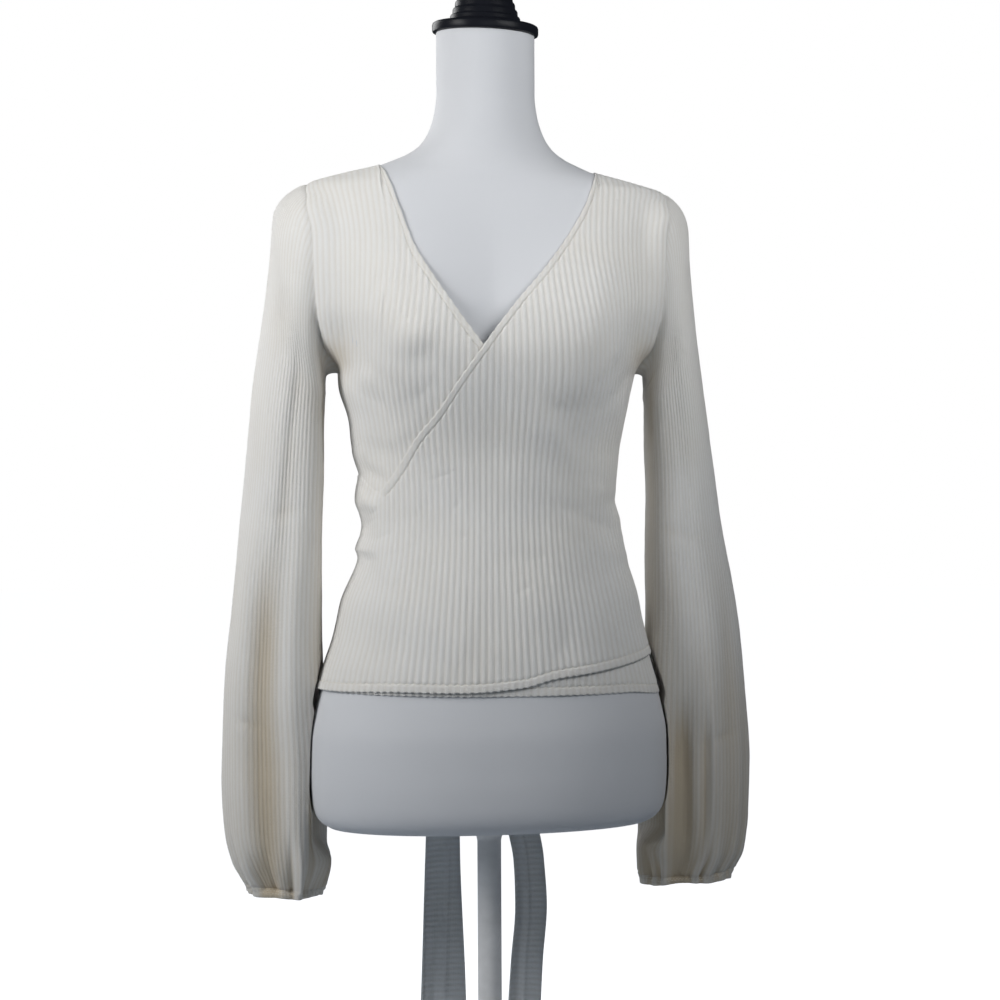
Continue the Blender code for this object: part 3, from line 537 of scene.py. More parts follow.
def knit_material(name, settings, loops, downward_shade=None):
    """Cream knit: rows of V-shaped loops on the piece's knit map, thick and thin yarn, fuzz, painted shade in
    the valleys and faint broad mottling. A painted shade can also grow darker down the piece."""
    inputs = {"Sheen Weight": 0.25, "Sheen Roughness": 0.5, "Specular IOR Level": 0.25}
    finish = Finish(name, settings.cream, 0.92, inputs)
    knit = finish.node("UVMap", uv_map="knit").outputs["UV"]
    split = finish.node("SeparateXYZ", {0: knit}).outputs
    wale = finish.math("FRACT", finish.math("DIVIDE", split["X"], loops.width))
    side = finish.math("ABSOLUTE", finish.math("SUBTRACT", wale, 0.5))
    course = finish.math("DIVIDE", split["Y"], loops.height)
    course = finish.math("ADD", course, finish.math("MULTIPLY", side, LOOP_SLANT))
    wave = finish.math("SINE", finish.math("MULTIPLY", course, 2 * math.pi))
    gap = finish.math("POWER", finish.math("MULTIPLY", side, 2.0), 4.0)
    height = finish.math("SUBTRACT", finish.math("MULTIPLY", wave, 0.5), gap)
    fuzz = finish.noise(900, 3)
    height = finish.math("ADD", height, fuzz)
    height = finish.math("ADD", height, finish.math("MULTIPLY", finish.noise(230), SLUB_SHARE))
    finish.bump(height, 0.6, loops.depth)
    colour = finish.ramp(finish.noise(11, 4), settings.cream_warm, settings.cream, (0.30, 0.66))
    # painted shade: where the crest attribute is low, in rib valleys, folds and hollows, the valley colour is
    # mixed in
    crest = finish.node("Attribute", attribute_name="crest").outputs["Fac"]
    valley = finish.math("MULTIPLY", finish.math("SUBTRACT", 1.0, crest), settings.valley_shade)
    colour = finish.mix("MIX", valley, colour, (*settings.valley, 1))
    colour = finish.mix("MULTIPLY", finish.math("MULTIPLY", fuzz, 0.10), colour, TUFT_COLOUR)
    # painted shade: the colour grows darker and bluer towards the bottom, for pieces that hang in shade
    if downward_shade:
        level = finish.node("SeparateXYZ", {0: finish.place()}).outputs["Z"]
        span = {"From Min": DOWNWARD_SHADE_WHOLE, "From Max": DOWNWARD_SHADE_STARTS, "To Min": 1.0, "To Max": 0.0}
        share = finish.node("MapRange", {"Value": level, **span}).outputs["Result"]
        colour = finish.mix("MULTIPLY", share, colour, (*downward_shade, 1))
    finish.feed(finish.shader, {"Base Color": colour})
    return finish.material


def thread_material(name, settings):
    """Sewing thread, a little smoother and lighter than the knit."""
    finish = Finish(name, settings.thread, 0.6)
    colour = finish.mix("MULTIPLY", finish.noise(1500), (*settings.thread, 1), THREAD_SHADE)
    finish.feed(finish.shader, {"Base Color": colour})
    return finish.material


def jersey_material(settings):
    """The form's tight white jersey: very fine wales and a faint mottling."""
    inputs = {"Sheen Weight": 0.15, "Specular IOR Level": 0.3}
    finish = Finish("white_jersey", settings.jersey, 0.72, inputs)
    knit = finish.node("UVMap", uv_map="knit").outputs["UV"]
    lines = {"Vector": knit, "Scale": WAVES_A_UNIT / settings.jersey_wale, "Distortion": 0.4}
    wales = finish.node("TexWave", lines, wave_type="BANDS", bands_direction="X").outputs["Fac"]
    finish.bump(finish.math("ADD", wales, finish.noise(700)), 0.25, 0.0002)
    colour = finish.ramp(finish.noise(7), [c * 0.95 for c in settings.jersey], settings.jersey)
    finish.feed(finish.shader, {"Base Color": colour})
    return finish.material


def lacquer_material(name, colour, roughness, coat, shine=0.5):
    """A hard finish, uneven in its gloss and faintly in its colour."""
    inputs = {"Coat Weight": coat, "Coat Roughness": 0.12, "Specular IOR Level": shine}
    finish = Finish(name, colour, roughness, inputs)
    wear = finish.noise(60, 5)
    gloss = {"Value": wear, "To Min": roughness * 0.75, "To Max": roughness * 1.35}
    shade = finish.ramp(wear, [c * 0.8 for c in colour], [min(c * 1.15, 1) for c in colour])
    gloss = finish.node("MapRange", gloss).outputs["Result"]
    finish.feed(finish.shader, {"Roughness": gloss, "Base Color": shade})
    return finish.material


# ------------------------------------------------------------------------------ the knit's relief

RIBS_A_SIDE = 31.5  # from the centre line to a side seam
RIBS_ROUND_SLEEVE = 72
RIB_COUNT = 140  # factors drawn for a panel's ribs
RIB_ZERO = 60  # and the centre rib's place among them
RIB_SPREAD = 0.16
SLEEVE_RIB_SPREAD = 0.2
RIB_PITCH = 0.0061
SLEEVE_RIB_PITCH = 0.0042
RIB_FLATNESS = 0.62
COLUMNS_A_RIB = 7
TRACK_STEP = 0.001
RIBS_STRAIGHTEN = 38  # steps of TRACK_STEP that the ribs' run is evened over
SEAM_DIP = 0.0003  # how far a seam lies below the valleys on both of its sides
SEAM_WIDTH = 0.0016
TOP_SEAM_DIP = 0.0008  # and the shoulder's seam, below the knit round it
SEED = 7


def rib_profile(phase):
    """A rib's cross section over its phase: 1 on a broad crest and 0 in a narrow valley."""
    return (0.5 + 0.5 * np.cos(2 * math.pi * phase)) ** RIB_FLATNESS


def uneven(count, spread, seed):
    """Factors near 1, one for each of count things, the same on each run."""
    return 1 + spread * (2 * np.random.default_rng(SEED + seed).random(count) - 1)


# How a turned hem rolls over its edge: how far in from the edge and below the outer face each row lies
HemRow = namedtuple("HemRow", "distance drop")
HEM_ROLL = rows_of(
    HemRow,
    (0.0088, 0.0016), (0.001, 0.0016), (0.0002, 0.0012), (0.0, 0.0007), (0.0003, 0.0002), (0.001, 0.0),
    (0.0026, 0.0), (0.0044, 0.0), (0.006, 0.0), (0.007, 0.0003), (0.0076, 0.0009), (0.0082, 0.0005),
    (0.0092, 0.0), (0.011, 0.0),
)
HEM_DEPTH = 0.0076
SEWN_REACH = 0.0012  # past HEM_DEPTH, where the ribs are still flattened
SEWN_EASE = 0.0014
NECK_POINT = 0.0998  # from the centre line to where the necklines meet the shoulder
HEM_GROWS = 0.007  # the neckline's hem fades into the shoulder seam over this distance
NECK_HEM = 0.74  # the neckline's hem against the bottom's
HEM_BULGE = 0.0005  # the turned hem has two layers
RELAXED = 0.00035  # the knit's slow rise and fall
LADDER_RISE = 0.00022  # the small knots along a neckline's rolled edge
HEM_FLATTENS = 0.34  # of the ribs' rise, where they are sewn down
STITCH_ROW = 10  # the row of HEM_ROLL that lies in the sewn groove
STEEPEST_EDGE = 3.2
HEM_SHARE = 0.35  # the most of a short column that one edge's rows take up
OVER_ROWS = 142  # between the over front's two edges
UNDER_ROWS = 120
BACK_ROWS = 132
WRAP_COLUMNS = 18
WRAP_DEGREES_A_RIB = 3.0
WRAP_SLOPE = 0.5
WRAP_PATH_STEPS = 220
SEWN_FROM_X = -0.108  # the over front's neckline is folded under unsewn up to here
SEWN_GROWS = 0.014
WRAP_STARTS = (0.137, 0.3308)  # foot and top of the over front at the side seam

# Creases, listed one by one. A trough's depth is negative and a ridge's positive. tilt is degrees from level.
Crease = namedtuple("Crease", "x height length width depth tilt")
OVER_CREASES = rows_of(
    Crease,
    (-0.103, 0.32, 0.018, 0.0032, -0.0013, -52),
    (-0.1095, 0.308, 0.022, 0.005, 0.0011, -62),
    (-0.106, 0.298, 0.012, 0.0018, -0.0006, 42),
    (-0.1075, 0.292, 0.012, 0.0018, -0.0006, 36),
    (-0.115, 0.285, 0.012, 0.0045, -0.0007, 24),
    (-0.116, 0.266, 0.008, 0.0036, 0.0006, -20),
    (-0.099, 0.277, 0.022, 0.0026, -0.0006, 24),
    (-0.088, 0.262, 0.03, 0.0035, -0.0004, 14),
    (-0.093, 0.243, 0.04, 0.006, 0.0006, -18),
    (-0.05, 0.331, 0.015, 0.0018, -0.0005, 20),
    (-0.04, 0.3345, 0.012, 0.0016, -0.0004, 14),
    (-0.035, 0.305, 0.012, 0.0024, -0.0007, 60),
    (-0.028, 0.278, 0.012, 0.0024, -0.0008, -24),
    (-0.072, 0.296, 0.04, 0.005, -0.0004, 32),
    (0.023, 0.23, 0.014, 0.0024, -0.0006, 30),
    (0.026, 0.258, 0.05, 0.007, -0.0007, -8),
    (0.062, 0.302, 0.06, 0.007, -0.0009, -14),
    (0.095, 0.286, 0.044, 0.006, -0.0013, -20),
    (0.099, 0.316, 0.04, 0.006, 0.0012, -10),
    (0.106, 0.26, 0.04, 0.007, 0.0011, -26),
    (0.118, 0.413, 0.05, 0.006, -0.0016, 56),
    (0.106, 0.438, 0.046, 0.007, 0.0012, 48),
    (0.126, 0.456, 0.05, 0.008, -0.0012, 66),
    (0.07, 0.39, 0.06, 0.011, -0.0008, 16),
    (-0.03, 0.19, 0.06, 0.012, 0.0009, 80),
    (0.06, 0.185, 0.05, 0.01, -0.0009, 84),
    (-0.088, 0.18, 0.05, 0.01, -0.0008, 82),
)
UNDER_CREASES = rows_of(
    Crease,
    (-0.113, 0.406, 0.04, 0.0055, -0.0018, -52),
    (-0.102, 0.431, 0.044, 0.007, 0.0012, -44),
    (-0.124, 0.448, 0.05, 0.007, -0.0014, -66),
    (-0.106, 0.356, 0.04, 0.008, -0.001, -18),
    (-0.106, 0.3325, 0.022, 0.0038, -0.0022, -38),
    (-0.083, 0.37, 0.04, 0.008, 0.0009, 34),
    (-0.066, 0.405, 0.036, 0.006, -0.0007, 40),
    (-0.064, 0.44, 0.03, 0.014, -0.0016, 22),
    (-0.07, 0.456, 0.034, 0.015, 0.0024, 22),
)
BACK_CREASES = rows_of(
    Crease,
    (0.09, 0.37, 0.07, 0.008, -0.0014, -24),
    (0.064, 0.342, 0.08, 0.008, -0.0012, -12),
    (-0.09, 0.365, 0.07, 0.008, -0.0013, 26),
    (-0.056, 0.346, 0.07, 0.007, -0.0011, 10),
    (0.0, 0.356, 0.1, 0.011, 0.0014, 3),
    (0.04, 0.236, 0.06, 0.009, -0.0013, 78),
    (-0.03, 0.23, 0.06, 0.009, -0.0012, 96),
    (0.086, 0.228, 0.05, 0.01, 0.0012, 64),
    (-0.084, 0.224, 0.05, 0.01, 0.0011, 112),
    (0.116, 0.442, 0.06, 0.008, -0.0016, 60),
    (-0.116, 0.438, 0.06, 0.008, -0.0015, 120),
    (0.02, 0.56, 0.09, 0.013, -0.0008, 4),
    (-0.06, 0.49, 0.08, 0.012, -0.0008, 70),
    (0.064, 0.5, 0.08, 0.012, 0.0008, 108),
)


def crease_relief(creases, x, height):
    """The sum of a table's creases at points of a panel."""
    relief = np.zeros(np.broadcast(x, height).shape)
    for crease in creases:
        tilt = math.radians(crease.tilt)
        along = (x - crease.x) * math.cos(tilt) + (height - crease.height) * math.sin(tilt)
        across = (height - crease.height) * math.cos(tilt) - (x - crease.x) * math.sin(tilt)
        bend = 6.0 * along * along
        relief += crease.depth * bell(across - bend, crease.width) * bell(along, crease.length / 2)
    return relief


# ------------------------------------------------------------------------------ fronts and back


def track_table(facing, shares):
    """The heights up to the shoulder's tip, and each rib line's x at them. A share is 0 at the centre and 1
    at the side."""
    heights = np.arange(LOWEST_TRACK, SHOULDER, TRACK_STEP)
    turns = np.linspace(0, math.pi / 2, 181)
    sections = []
    for height in heights:
        edge = 1.0
        if height > ARMPIT:
            edge = float((BACK_SHARE if facing > 0 else FRONT_SHARE)(height))
        xs = edge * HALF_WIDTH(height) * np.sin(turns)
        ys = body_y(xs, height, facing)
        length = np.concatenate([[0], np.cumsum(np.hypot(np.diff(xs), np.diff(ys)))])
        sections.append((length, xs))
    # only the outer ribs crowd together where the armhole cuts into the section
    whole = np.array([length[-1] for length, _ in sections])
    reach = np.arange(-3 * RIBS_STRAIGHTEN, 3 * RIBS_STRAIGHTEN + 1)
    weights = bell(reach, RIBS_STRAIGHTEN)
    even = np.convolve(np.pad(whole, len(reach) // 2, mode="edge"), weights / weights.sum(), mode="valid")
    crowded = eased((shares - 0.68) / 0.32)
    rows = [
        np.interp(shares * (actual * crowded + soft * (1 - crowded)), length, xs)
        for (length, xs), actual, soft in zip(sections, whole, even)
    ]
    return heights, np.array(rows)


def ridge_height(x):
    """Where the shoulder's ridge is as far out as x."""
    heights = np.linspace(SHOULDER, FORM_TOP, 2000)
    widths = HALF_WIDTH(heights)
    return float(np.interp(-abs(x), -widths, heights))


def rib_path(heights, xs, facing, side):
    """A rib line's points from below the hem to the ridge of the shoulder."""
    ridge = ridge_height(xs[-1])
    share = np.linspace(0, 1, 60)[1:]
    above = SHOULDER + (ridge - SHOULDER) * (1 - (1 - share) ** 2)
    height = np.concatenate([heights, above])
    x = np.concatenate([xs, np.full(len(above), xs[-1])])
    y = body_y(x, height, facing)
    y[-1] = 0
    return np.stack([x * side, y, height], -1)


def crossing(path, level_at, start):
    """Where a path first rises above level_at(x) after the point start, in points. None if it never does."""
    over = path[:, 2] - level_at(path[:, 0])
    rising = np.nonzero((over[start + 1 :] > 0) & (over[start:-1] <= 0))[0]
    if not len(rising):
        return None
    i = start + int(rising[0])
    return i + over[i] / (over[i] - over[i + 1])


def cut_path(path, first, last):
    """The stretch of a path between two places on it, given in points."""
    inner = path[math.ceil(first) : math.floor(last) + 1]
    index = np.arange(len(path))
    ends = [[np.interp(at, index, path[:, axis]) for axis in range(3)] for at in (first, last)]
    return np.concatenate([[ends[0]], inner, [ends[1]]])


PanelShape = namedtuple("PanelShape", "base ribs along from_top hemmed")


def even_slopes(slopes, hemmed):
    """Smooths the edge's slope from column to column, so that the hem's width doesn't jump."""
    smooth = np.convolve(np.pad(slopes, 4, mode="edge"), np.ones(9) / 9, mode="valid")
    return smooth * (hemmed > 0)


def panel_shape(paths, ribs, hemmed, slopes, inner_rows):
    """Spreads rows along each path, close together where the hems turn, and returns a PanelShape."""
    hemmed = np.array(hemmed)
    slopes = even_slopes(np.array(slopes), hemmed)
    roll = table_column(HEM_ROLL, "distance")
    total = 2 * len(roll) + inner_rows
    base = np.empty((len(paths), total, 3))
    along = np.empty((len(paths), total))
    from_top = np.empty((len(paths), total))
    for i, path in enumerate(paths):
        length = run_along(path)
        whole = length[-1]
        stretch = min(math.hypot(1, slopes[i]), STEEPEST_EDGE, HEM_SHARE * whole / roll.max())
        low = roll * min(1, HEM_SHARE * whole / roll.max())
        stretch *= NECK_HEM
        high = whole - roll[::-1] * stretch
        middle = np.linspace(low[-1], high[0], inner_rows + 2)[1:-1]
        at = np.concatenate([low, middle, high])
        for axis in range(3):
            base[i, :, axis] = np.interp(at, length, path[:, axis])
        along[i] = at
        from_top[i] = (whole - at) / stretch
    return PanelShape(base, ribs, along, from_top, hemmed)


def roll_drop(shape, sewn_share):
    """How far below the outer face each row lies: rolled under at hems, dipped at seams."""
    drops = table_column(HEM_ROLL, "drop")
    drop = np.zeros(shape.along.shape)
    drop[:, : len(drops)] = drops
    drop[:, -len(drops) :] = shape.hemmed[:, None] * drops[::-1]
    groove = (shape.from_top > HEM_ROLL[6].distance) & (shape.from_top < HEM_ROLL[-1].distance)
    drop = np.where(groove, drop * np.reshape(sewn_share, (-1, 1)), drop)
    seam = TOP_SEAM_DIP * bell(shape.from_top, SEAM_WIDTH)
    return drop + (1 - shape.hemmed[:, None]) * seam


def bridged(height):
    """How far the armhole's edge stands off the body."""
    rising = eased((height - ARMPIT - 0.002) / BRIDGE_EASE)
    return BRIDGE * rising * eased((SHOULDER - height) / BRIDGE_EASE)


def sewn_at(distance):
    """1 in a hem, to just past its stitches."""
    return eased((HEM_DEPTH + SEWN_REACH - distance) / SEWN_EASE)


def panel_relief(shape, rise, creases, side_dips, seed, sewn_share=1):
    """(the knit's height off the layer's valleys, the crest shade) of a panel's points. sewn_share is 0 for
    the columns whose neckline is folded under unsewn."""
    ribs = shape.ribs[:, None]
    whole_rib = np.rint(ribs).astype(int) + RIB_ZERO
    strength = uneven(RIB_COUNT, RIB_SPREAD, seed)[whole_rib]
    crest = rib_profile(ribs)
    sewn_top = shape.hemmed[:, None] * sewn_at(shape.from_top) * np.reshape(sewn_share, (-1, 1))
    sewn = np.maximum(sewn_top, sewn_at(shape.along))
    wander = 1 + 0.22 * np.sin(shape.along * 190 + ribs * 2.4) * np.sin(shape.along * 71 + ribs * 1.7)
    faded = 0.55 + 0.45 * eased((0.575 - shape.base[..., 2]) / 0.10)
    faded = faded * (1 - PULL_FADES * eased((-shape.base[..., 0] - PULL_FADES_FROM) / PULL_FADES_OVER))
    height = rise * faded * strength * wander * crest * (1 - sewn * (1 - HEM_FLATTENS)) + HEM_BULGE * sewn
    ladder = shape.hemmed[:, None] * bell(shape.from_top - 0.0016, 0.0018)
    height = height + LADDER_RISE * ladder * np.cos(4 * math.pi * ribs) - roll_drop(shape, sewn_share)
    height = height + crease_relief(creases, shape.base[..., 0], shape.base[..., 2])
    # the knit relaxes and tightens a little from place to place
    x, _, level = np.moveaxis(shape.base, -1, 0)
    height = height + RELAXED * np.sin(x * 61 + level * 37 + seed) * np.sin(level * 83 - x * 19)
    to_side = (RIBS_A_SIDE - np.abs(ribs)) * RIB_PITCH
    height = height + bridged(level) * eased(1 - to_side / BRIDGE_REACH)
    for where in side_dips:
        sewn_side = bell((ribs - where) * RIB_PITCH, SEAM_WIDTH)
        height = height * (1 - sewn_side) + (bridged(level) - SEAM_DIP) * sewn_side
    # painted shade: more of the valley colour beside the armpits
    pit = bell(np.hypot(np.abs(x) - PIT_X, (level - PIT_LEVEL) * 0.7), PIT_SIZE)
    return height, np.broadcast_to(crest, height.shape) * (1 - 0.25 * sewn) - PIT_PAINTED_SHADE * pit


def covered(x, height):
    """1 where the under front lies beneath the over front, easing to 0 past its neckline."""
    neckline = table_curve(UNDER_NECKLINE, "height")
    return eased(1 - (height - neckline(x)) / COVER_FADE)


def over_lift(x, height):
    """The over front lies on the under front, and on the form where that ends."""
    return UNDER_LIFT + (OVER_LIFT - UNDER_LIFT) * covered(x, height)


def back_lift(x, y, height):
    """The back rises to the over front's level at the wearer's left seam."""
    turn = np.degrees(np.arctan2(x, y))
    rising = eased((turn - 15) / 40) * (turn < 179)
    return UNDER_LIFT + (over_lift(np.abs(x), height) - UNDER_LIFT) * rising


def wrapped_paths(columns):
    """Paths of the over front behind the viewer's left side, from the side seam round to its end."""
    paths = []
    for degrees in columns:
        share = (degrees - 90) / (OVER_WRAP - 90)
        foot, top = (first + (last - first) * share for first, last in zip(WRAP_STARTS, OVER_END_HEIGHTS))
        paths.append(body_point(-degrees, np.linspace(foot, top, WRAP_PATH_STEPS)))
    return paths


def edge_curve(rows, facing):
    """The height of a panel's edge over x. The back's tables hold one half of it."""
    curve = table_curve(rows, "height")
    return curve if facing < 0 else lambda x: curve(np.abs(x))


def panel_paths(facing, ribs, neckline_rows, hem_rows, scallop):
    """Each rib line's path between the hem and its top, how far the top is hemmed, and the top's slope."""
    neckline = edge_curve(neckline_rows, facing)
    hem = edge_curve(hem_rows, facing)
    heights, table = track_table(facing, np.abs(ribs) / RIBS_A_SIDE)
    paths = []
    hemmed = []
    slopes = []
    for i, rib in enumerate(ribs):
        side = 1 if rib >= 0 else -1
        path = rib_path(heights, table[:, i], facing, side)
        wave = scallop * math.cos(2 * math.pi * rib)
        foot = crossing(path, lambda x: hem(x) - wave, 0)
        start = int(np.searchsorted(heights, LOWEST_NECKLINE))
        top = crossing(path, lambda x: neckline(x) + wave, start)
        last = len(path) - 1 if top is None else top
        x_top = float(np.interp(last, np.arange(len(path)), path[:, 0]))
        hemmed.append(0.0 if top is None else float(eased((NECK_POINT - abs(x_top)) / HEM_GROWS)))
        slopes.append(0 if top is None else float(neckline(x_top + 1e-3) - neckline(x_top - 1e-3)) / 2e-3)
        paths.append(cut_path(path, foot, last))
    return paths, hemmed, slopes


def rib_steps(first, last, columns_a_rib):
    return np.linspace(first, last, int(round((last - first) * columns_a_rib)) + 1)


StitchLine = namedtuple("StitchLine", "points normals")
Stitch = namedtuple("Stitch", "length gap radius")
PANEL_STITCH = Stitch(0.0026, 0.0008, 0.00035)
CUFF_STITCH = Stitch(0.0024, 0.0008, 0.00032)
STITCH_LIFT = 0.0002
STITCH_FLATNESS = 0.8


def between(run, at, values):
    """The value of a row of vectors at a distance along its run."""
    return Vector([np.interp(at, run, values[:, axis]) for axis in range(3)])


def sew(name, lines, stitch, material):
    """One mesh of small stitches laid end to end along the lines, each a stretched ball of twenty faces."""
    mesh = bmesh.new()
    for line in lines:
        points = stood(line.points)
        run = run_along(points)
        for start in np.arange(stitch.gap, run[-1] - stitch.length, stitch.length + stitch.gap):
            first = between(run, start, points)
            last = between(run, start + stitch.length, points)
            normal = between(run, start, line.normals).normalized()
            along = (last - first).normalized()
            across = normal.cross(along).normalized()
            place = Matrix.Translation((first + last) / 2 + normal * STITCH_LIFT)
            turn = Matrix((along, across, normal)).transposed().to_4x4()
            size = Matrix.Diagonal((stitch.length / 2, stitch.radius, stitch.radius * STITCH_FLATNESS, 1))
            bmesh.ops.create_icosphere(mesh, subdivisions=1, radius=1, matrix=place @ turn @ size)
    return add_piece(new_object(name, mesh_data(name, mesh), material))


def finish_panel(node, shape, height, crest, material, thread, sewn=1):
    """(the panel, its stitches). height is how far its outer face stands off the body."""
    normals = outward(shape.base)
    points = pulled(shape.base + normals * height[..., None])
    made = knit_grid(node + "_knit", points, shape.ribs[:, None] * RIB_PITCH, shape.along, crest, material)
    point_out(made)
    add_piece(made, node)
    columns = (shape.hemmed > 0.5) & (sewn > 0.4)
    top_row = points.shape[1] - 1 - STITCH_ROW
    lines = [
        StitchLine(points[:, STITCH_ROW], normals[:, STITCH_ROW]),
        StitchLine(points[columns, top_row], normals[columns, top_row]),
    ]
    return made, sew(node + "_stitches", lines, PANEL_STITCH, thread)


def add_front_over(settings, material, thread):
    body = rib_steps(-RIBS_A_SIDE, RIBS_A_SIDE, COLUMNS_A_RIB)
    paths, hemmed, slopes = panel_paths(-1, body, OVER_NECKLINE, OVER_HEM, settings.scallop)
    behind = np.linspace(OVER_WRAP, 90, WRAP_COLUMNS + 1)[:-1]
    ribs = np.concatenate([-RIBS_A_SIDE - (behind - 90) / WRAP_DEGREES_A_RIB, body])
    hemmed = [1.0] * WRAP_COLUMNS + hemmed
    slopes = [WRAP_SLOPE] * WRAP_COLUMNS + slopes
    shape = panel_shape(wrapped_paths(behind) + paths, ribs, hemmed, slopes, OVER_ROWS)
    sewn = eased((shape.base[:, -1, 0] - SEWN_FROM_X) / SEWN_GROWS)
    relief, crest = panel_relief(shape, settings.rib_rise, OVER_CREASES, (RIBS_A_SIDE,), 1, sewn)
    lift = over_lift(shape.base[..., 0], shape.base[..., 2])
    low = 1 - eased(shape.from_top * NECK_HEM / SIDE_SETTLE)
    lift = lift - (OVER_LIFT - UNDER_LIFT - 0.8 * settings.rib_rise) * (1 - sewn[:, None]) * low
    made, stitches = finish_panel("front_over", shape, lift + relief, crest, material, thread, sewn)


def add_front_under(settings, material, thread):
    ribs = rib_steps(-RIBS_A_SIDE, RIBS_A_SIDE - UNDER_STOPS, COLUMNS_A_RIB - 1)
    paths, hemmed, slopes = panel_paths(-1, ribs, UNDER_NECKLINE, UNDER_HEM, settings.scallop)
    shape = panel_shape(paths, ribs, hemmed, slopes, UNDER_ROWS)
    relief, crest = panel_relief(shape, settings.rib_rise, UNDER_CREASES, (-RIBS_A_SIDE,), 2)
    made, stitches = finish_panel("front_under", shape, UNDER_LIFT + relief, crest, material, thread)


def add_back(settings, material, thread):
    ribs = rib_steps(-RIBS_A_SIDE, RIBS_A_SIDE, COLUMNS_A_RIB - 1)
    paths, hemmed, slopes = panel_paths(1, ribs, BACK_NECKLINE, BACK_HEM, settings.scallop)
    shape = panel_shape(paths, ribs, hemmed, slopes, BACK_ROWS)
    relief, crest = panel_relief(shape, settings.rib_rise, BACK_CREASES, (-RIBS_A_SIDE, RIBS_A_SIDE), 3)
    height = back_lift(*np.moveaxis(shape.base, -1, 0)) + relief
    made, stitches = finish_panel("back", shape, height, crest, material, thread)


# ------------------------------------------------------------------------------ sleeves and cuffs

# Folds down a sleeve, listed one by one: degrees round from the outside through the front, the distances from
# the armhole between which it runs, its width in degrees, its depth and how many degrees it drifts
SleeveFold = namedtuple("SleeveFold", "turn start stop width depth drift")
LEFT_SLEEVE_FOLDS = rows_of(
    SleeveFold,
    (76, 0.3, 0.7, 20, -0.0085, 3),
    (110, 0.22, 0.68, 10, 0.0036, -3),
    (62, 0.6, 0.7, 11, -0.006, 2),
    (126, 0.52, 0.7, 5, -0.0052, 2),
    (102, 0.58, 0.7, 4, -0.0034, 2),
    (44, 0.28, 0.6, 13, 0.0024, -5),
    (92, 0.08, 0.3, 9, -0.0014, -8),
    (144, 0.02, 0.2, 9, -0.0034, 10),
    (235, 0.24, 0.68, 14, -0.007, 6),
    (275, 0.14, 0.6, 12, 0.0034, -5),
    (310, 0.36, 0.68, 11, -0.0045, 6),
)
RIGHT_SLEEVE_FOLDS = rows_of(
    SleeveFold,
    (104, 0.46, 0.7, 9, -0.01, 8),
    (88, 0.44, 0.66, 5, 0.004, 8),
    (78, 0.47, 0.64, 6, -0.005, 8),
    (118, 0.54, 0.7, 6, -0.004, 0),
    (146, 0.5, 0.7, 9, -0.004, 2),
    (50, 0.34, 0.62, 13, -0.0026, -8),
    (30, 0.46, 0.68, 7, -0.002, -4),
    (118, 0.12, 0.4, 10, -0.0012, 6),
    (144, 0.02, 0.18, 9, -0.003, 8),
    (228, 0.22, 0.66, 13, -0.0065, -4),
    (268, 0.18, 0.62, 13, 0.003, 7),
    (318, 0.36, 0.68, 10, -0.004, -6),
)
# Short creases across a sleeve: degrees round, distance from the armhole, half width in degrees, half height,
# depth, and how far they climb in a quarter turn
SleeveCrease = namedtuple("SleeveCrease", "turn distance width height depth rise")
SLEEVE_CREASES = rows_of(
    SleeveCrease,
    (62, 0.5, 20, 0.004, -0.0012, 0.02),
    (100, 0.3, 26, 0.007, -0.001, -0.03),
    (150, 0.06, 22, 0.006, -0.0016, 0.03),
    (200, 0.09, 26, 0.007, 0.0014, -0.03),
    (300, 0.34, 24, 0.007, -0.001, 0.02),
    (350, 0.22, 22, 0.006, -0.0008, 0.012),
)
FOLD_PAINTED_SHADE = 3.0  # painted shade: how much more of the valley colour is painted into the deepest folds, where shade falls
INNER_PAINTED_SHADE = 1.9  # and painted shade on the sleeve's side towards the body, which the body shades
LOW_PAINTED_SHADES = {-1: 1.0, 1: 1.9}  # and painted shade towards its low end, where less light falls, by the side
GATHERS = 17
GATHER_RISE = 0.0042
GATHER_REACH = 0.064

CUFF_ROWS = rows_of(
    HemRow,
    (0.0095, 0.0016), (0.0012, 0.0016), (0.0003, 0.0012), (0.0, 0.0007), (0.0003, 0.0002),
    (0.0011, 0.0), (0.0026, 0.0), (0.004, 0.0), (0.005, 0.0003), (0.0056, 0.0001), (0.0066, 0.0),
    (0.0074, 0.0003), (0.0081, 0.0001), (0.0096, 0.0006),
)
CUFF_STITCH_ROWS = (8, 11)


def sleeve_curves(rings):
    """Curves of the sleeve's sections over the distance down its outer side, and that whole distance."""
    outer = np.array([(ring.outer_x, ring.outer_height) for ring in rings])
    down = run_along(outer)
    curves = {name: smooth_curve(down, table_column(rings, name)) for name in SleeveRing._fields}
    return curves, float(down[-1])


def clear_of_hip(points):
    """Pushes points out from the form's axis until they hang clear of the panels on the hip."""
    x, y, height = np.moveaxis(points, -1, 0)
    level = np.maximum(height, HIP_FOOT)
    clothed = eased((height - CLOTH_FOOT) / CLOTH_EASE)
    clearance = HIP_CLEARANCE + (CLOTH_CLEARANCE - HIP_CLEARANCE) * clothed
    wanted = body_reach(np.arctan2(x, -y), level) + clearance
    distance = np.hypot(x, y)
    push = np.maximum(wanted - distance, 0) * eased((height - HIP_FADE) / (0 - HIP_FADE))
    push = push * eased((HIP_TOP + HIP_TOP_EASE - height) / HIP_TOP_EASE)
    grown = 1 + push / distance
    return np.stack([x * grown, y * grown, height], -1)


def unit(vectors):
    return vectors / np.linalg.norm(vectors, axis=-1, keepdims=True)


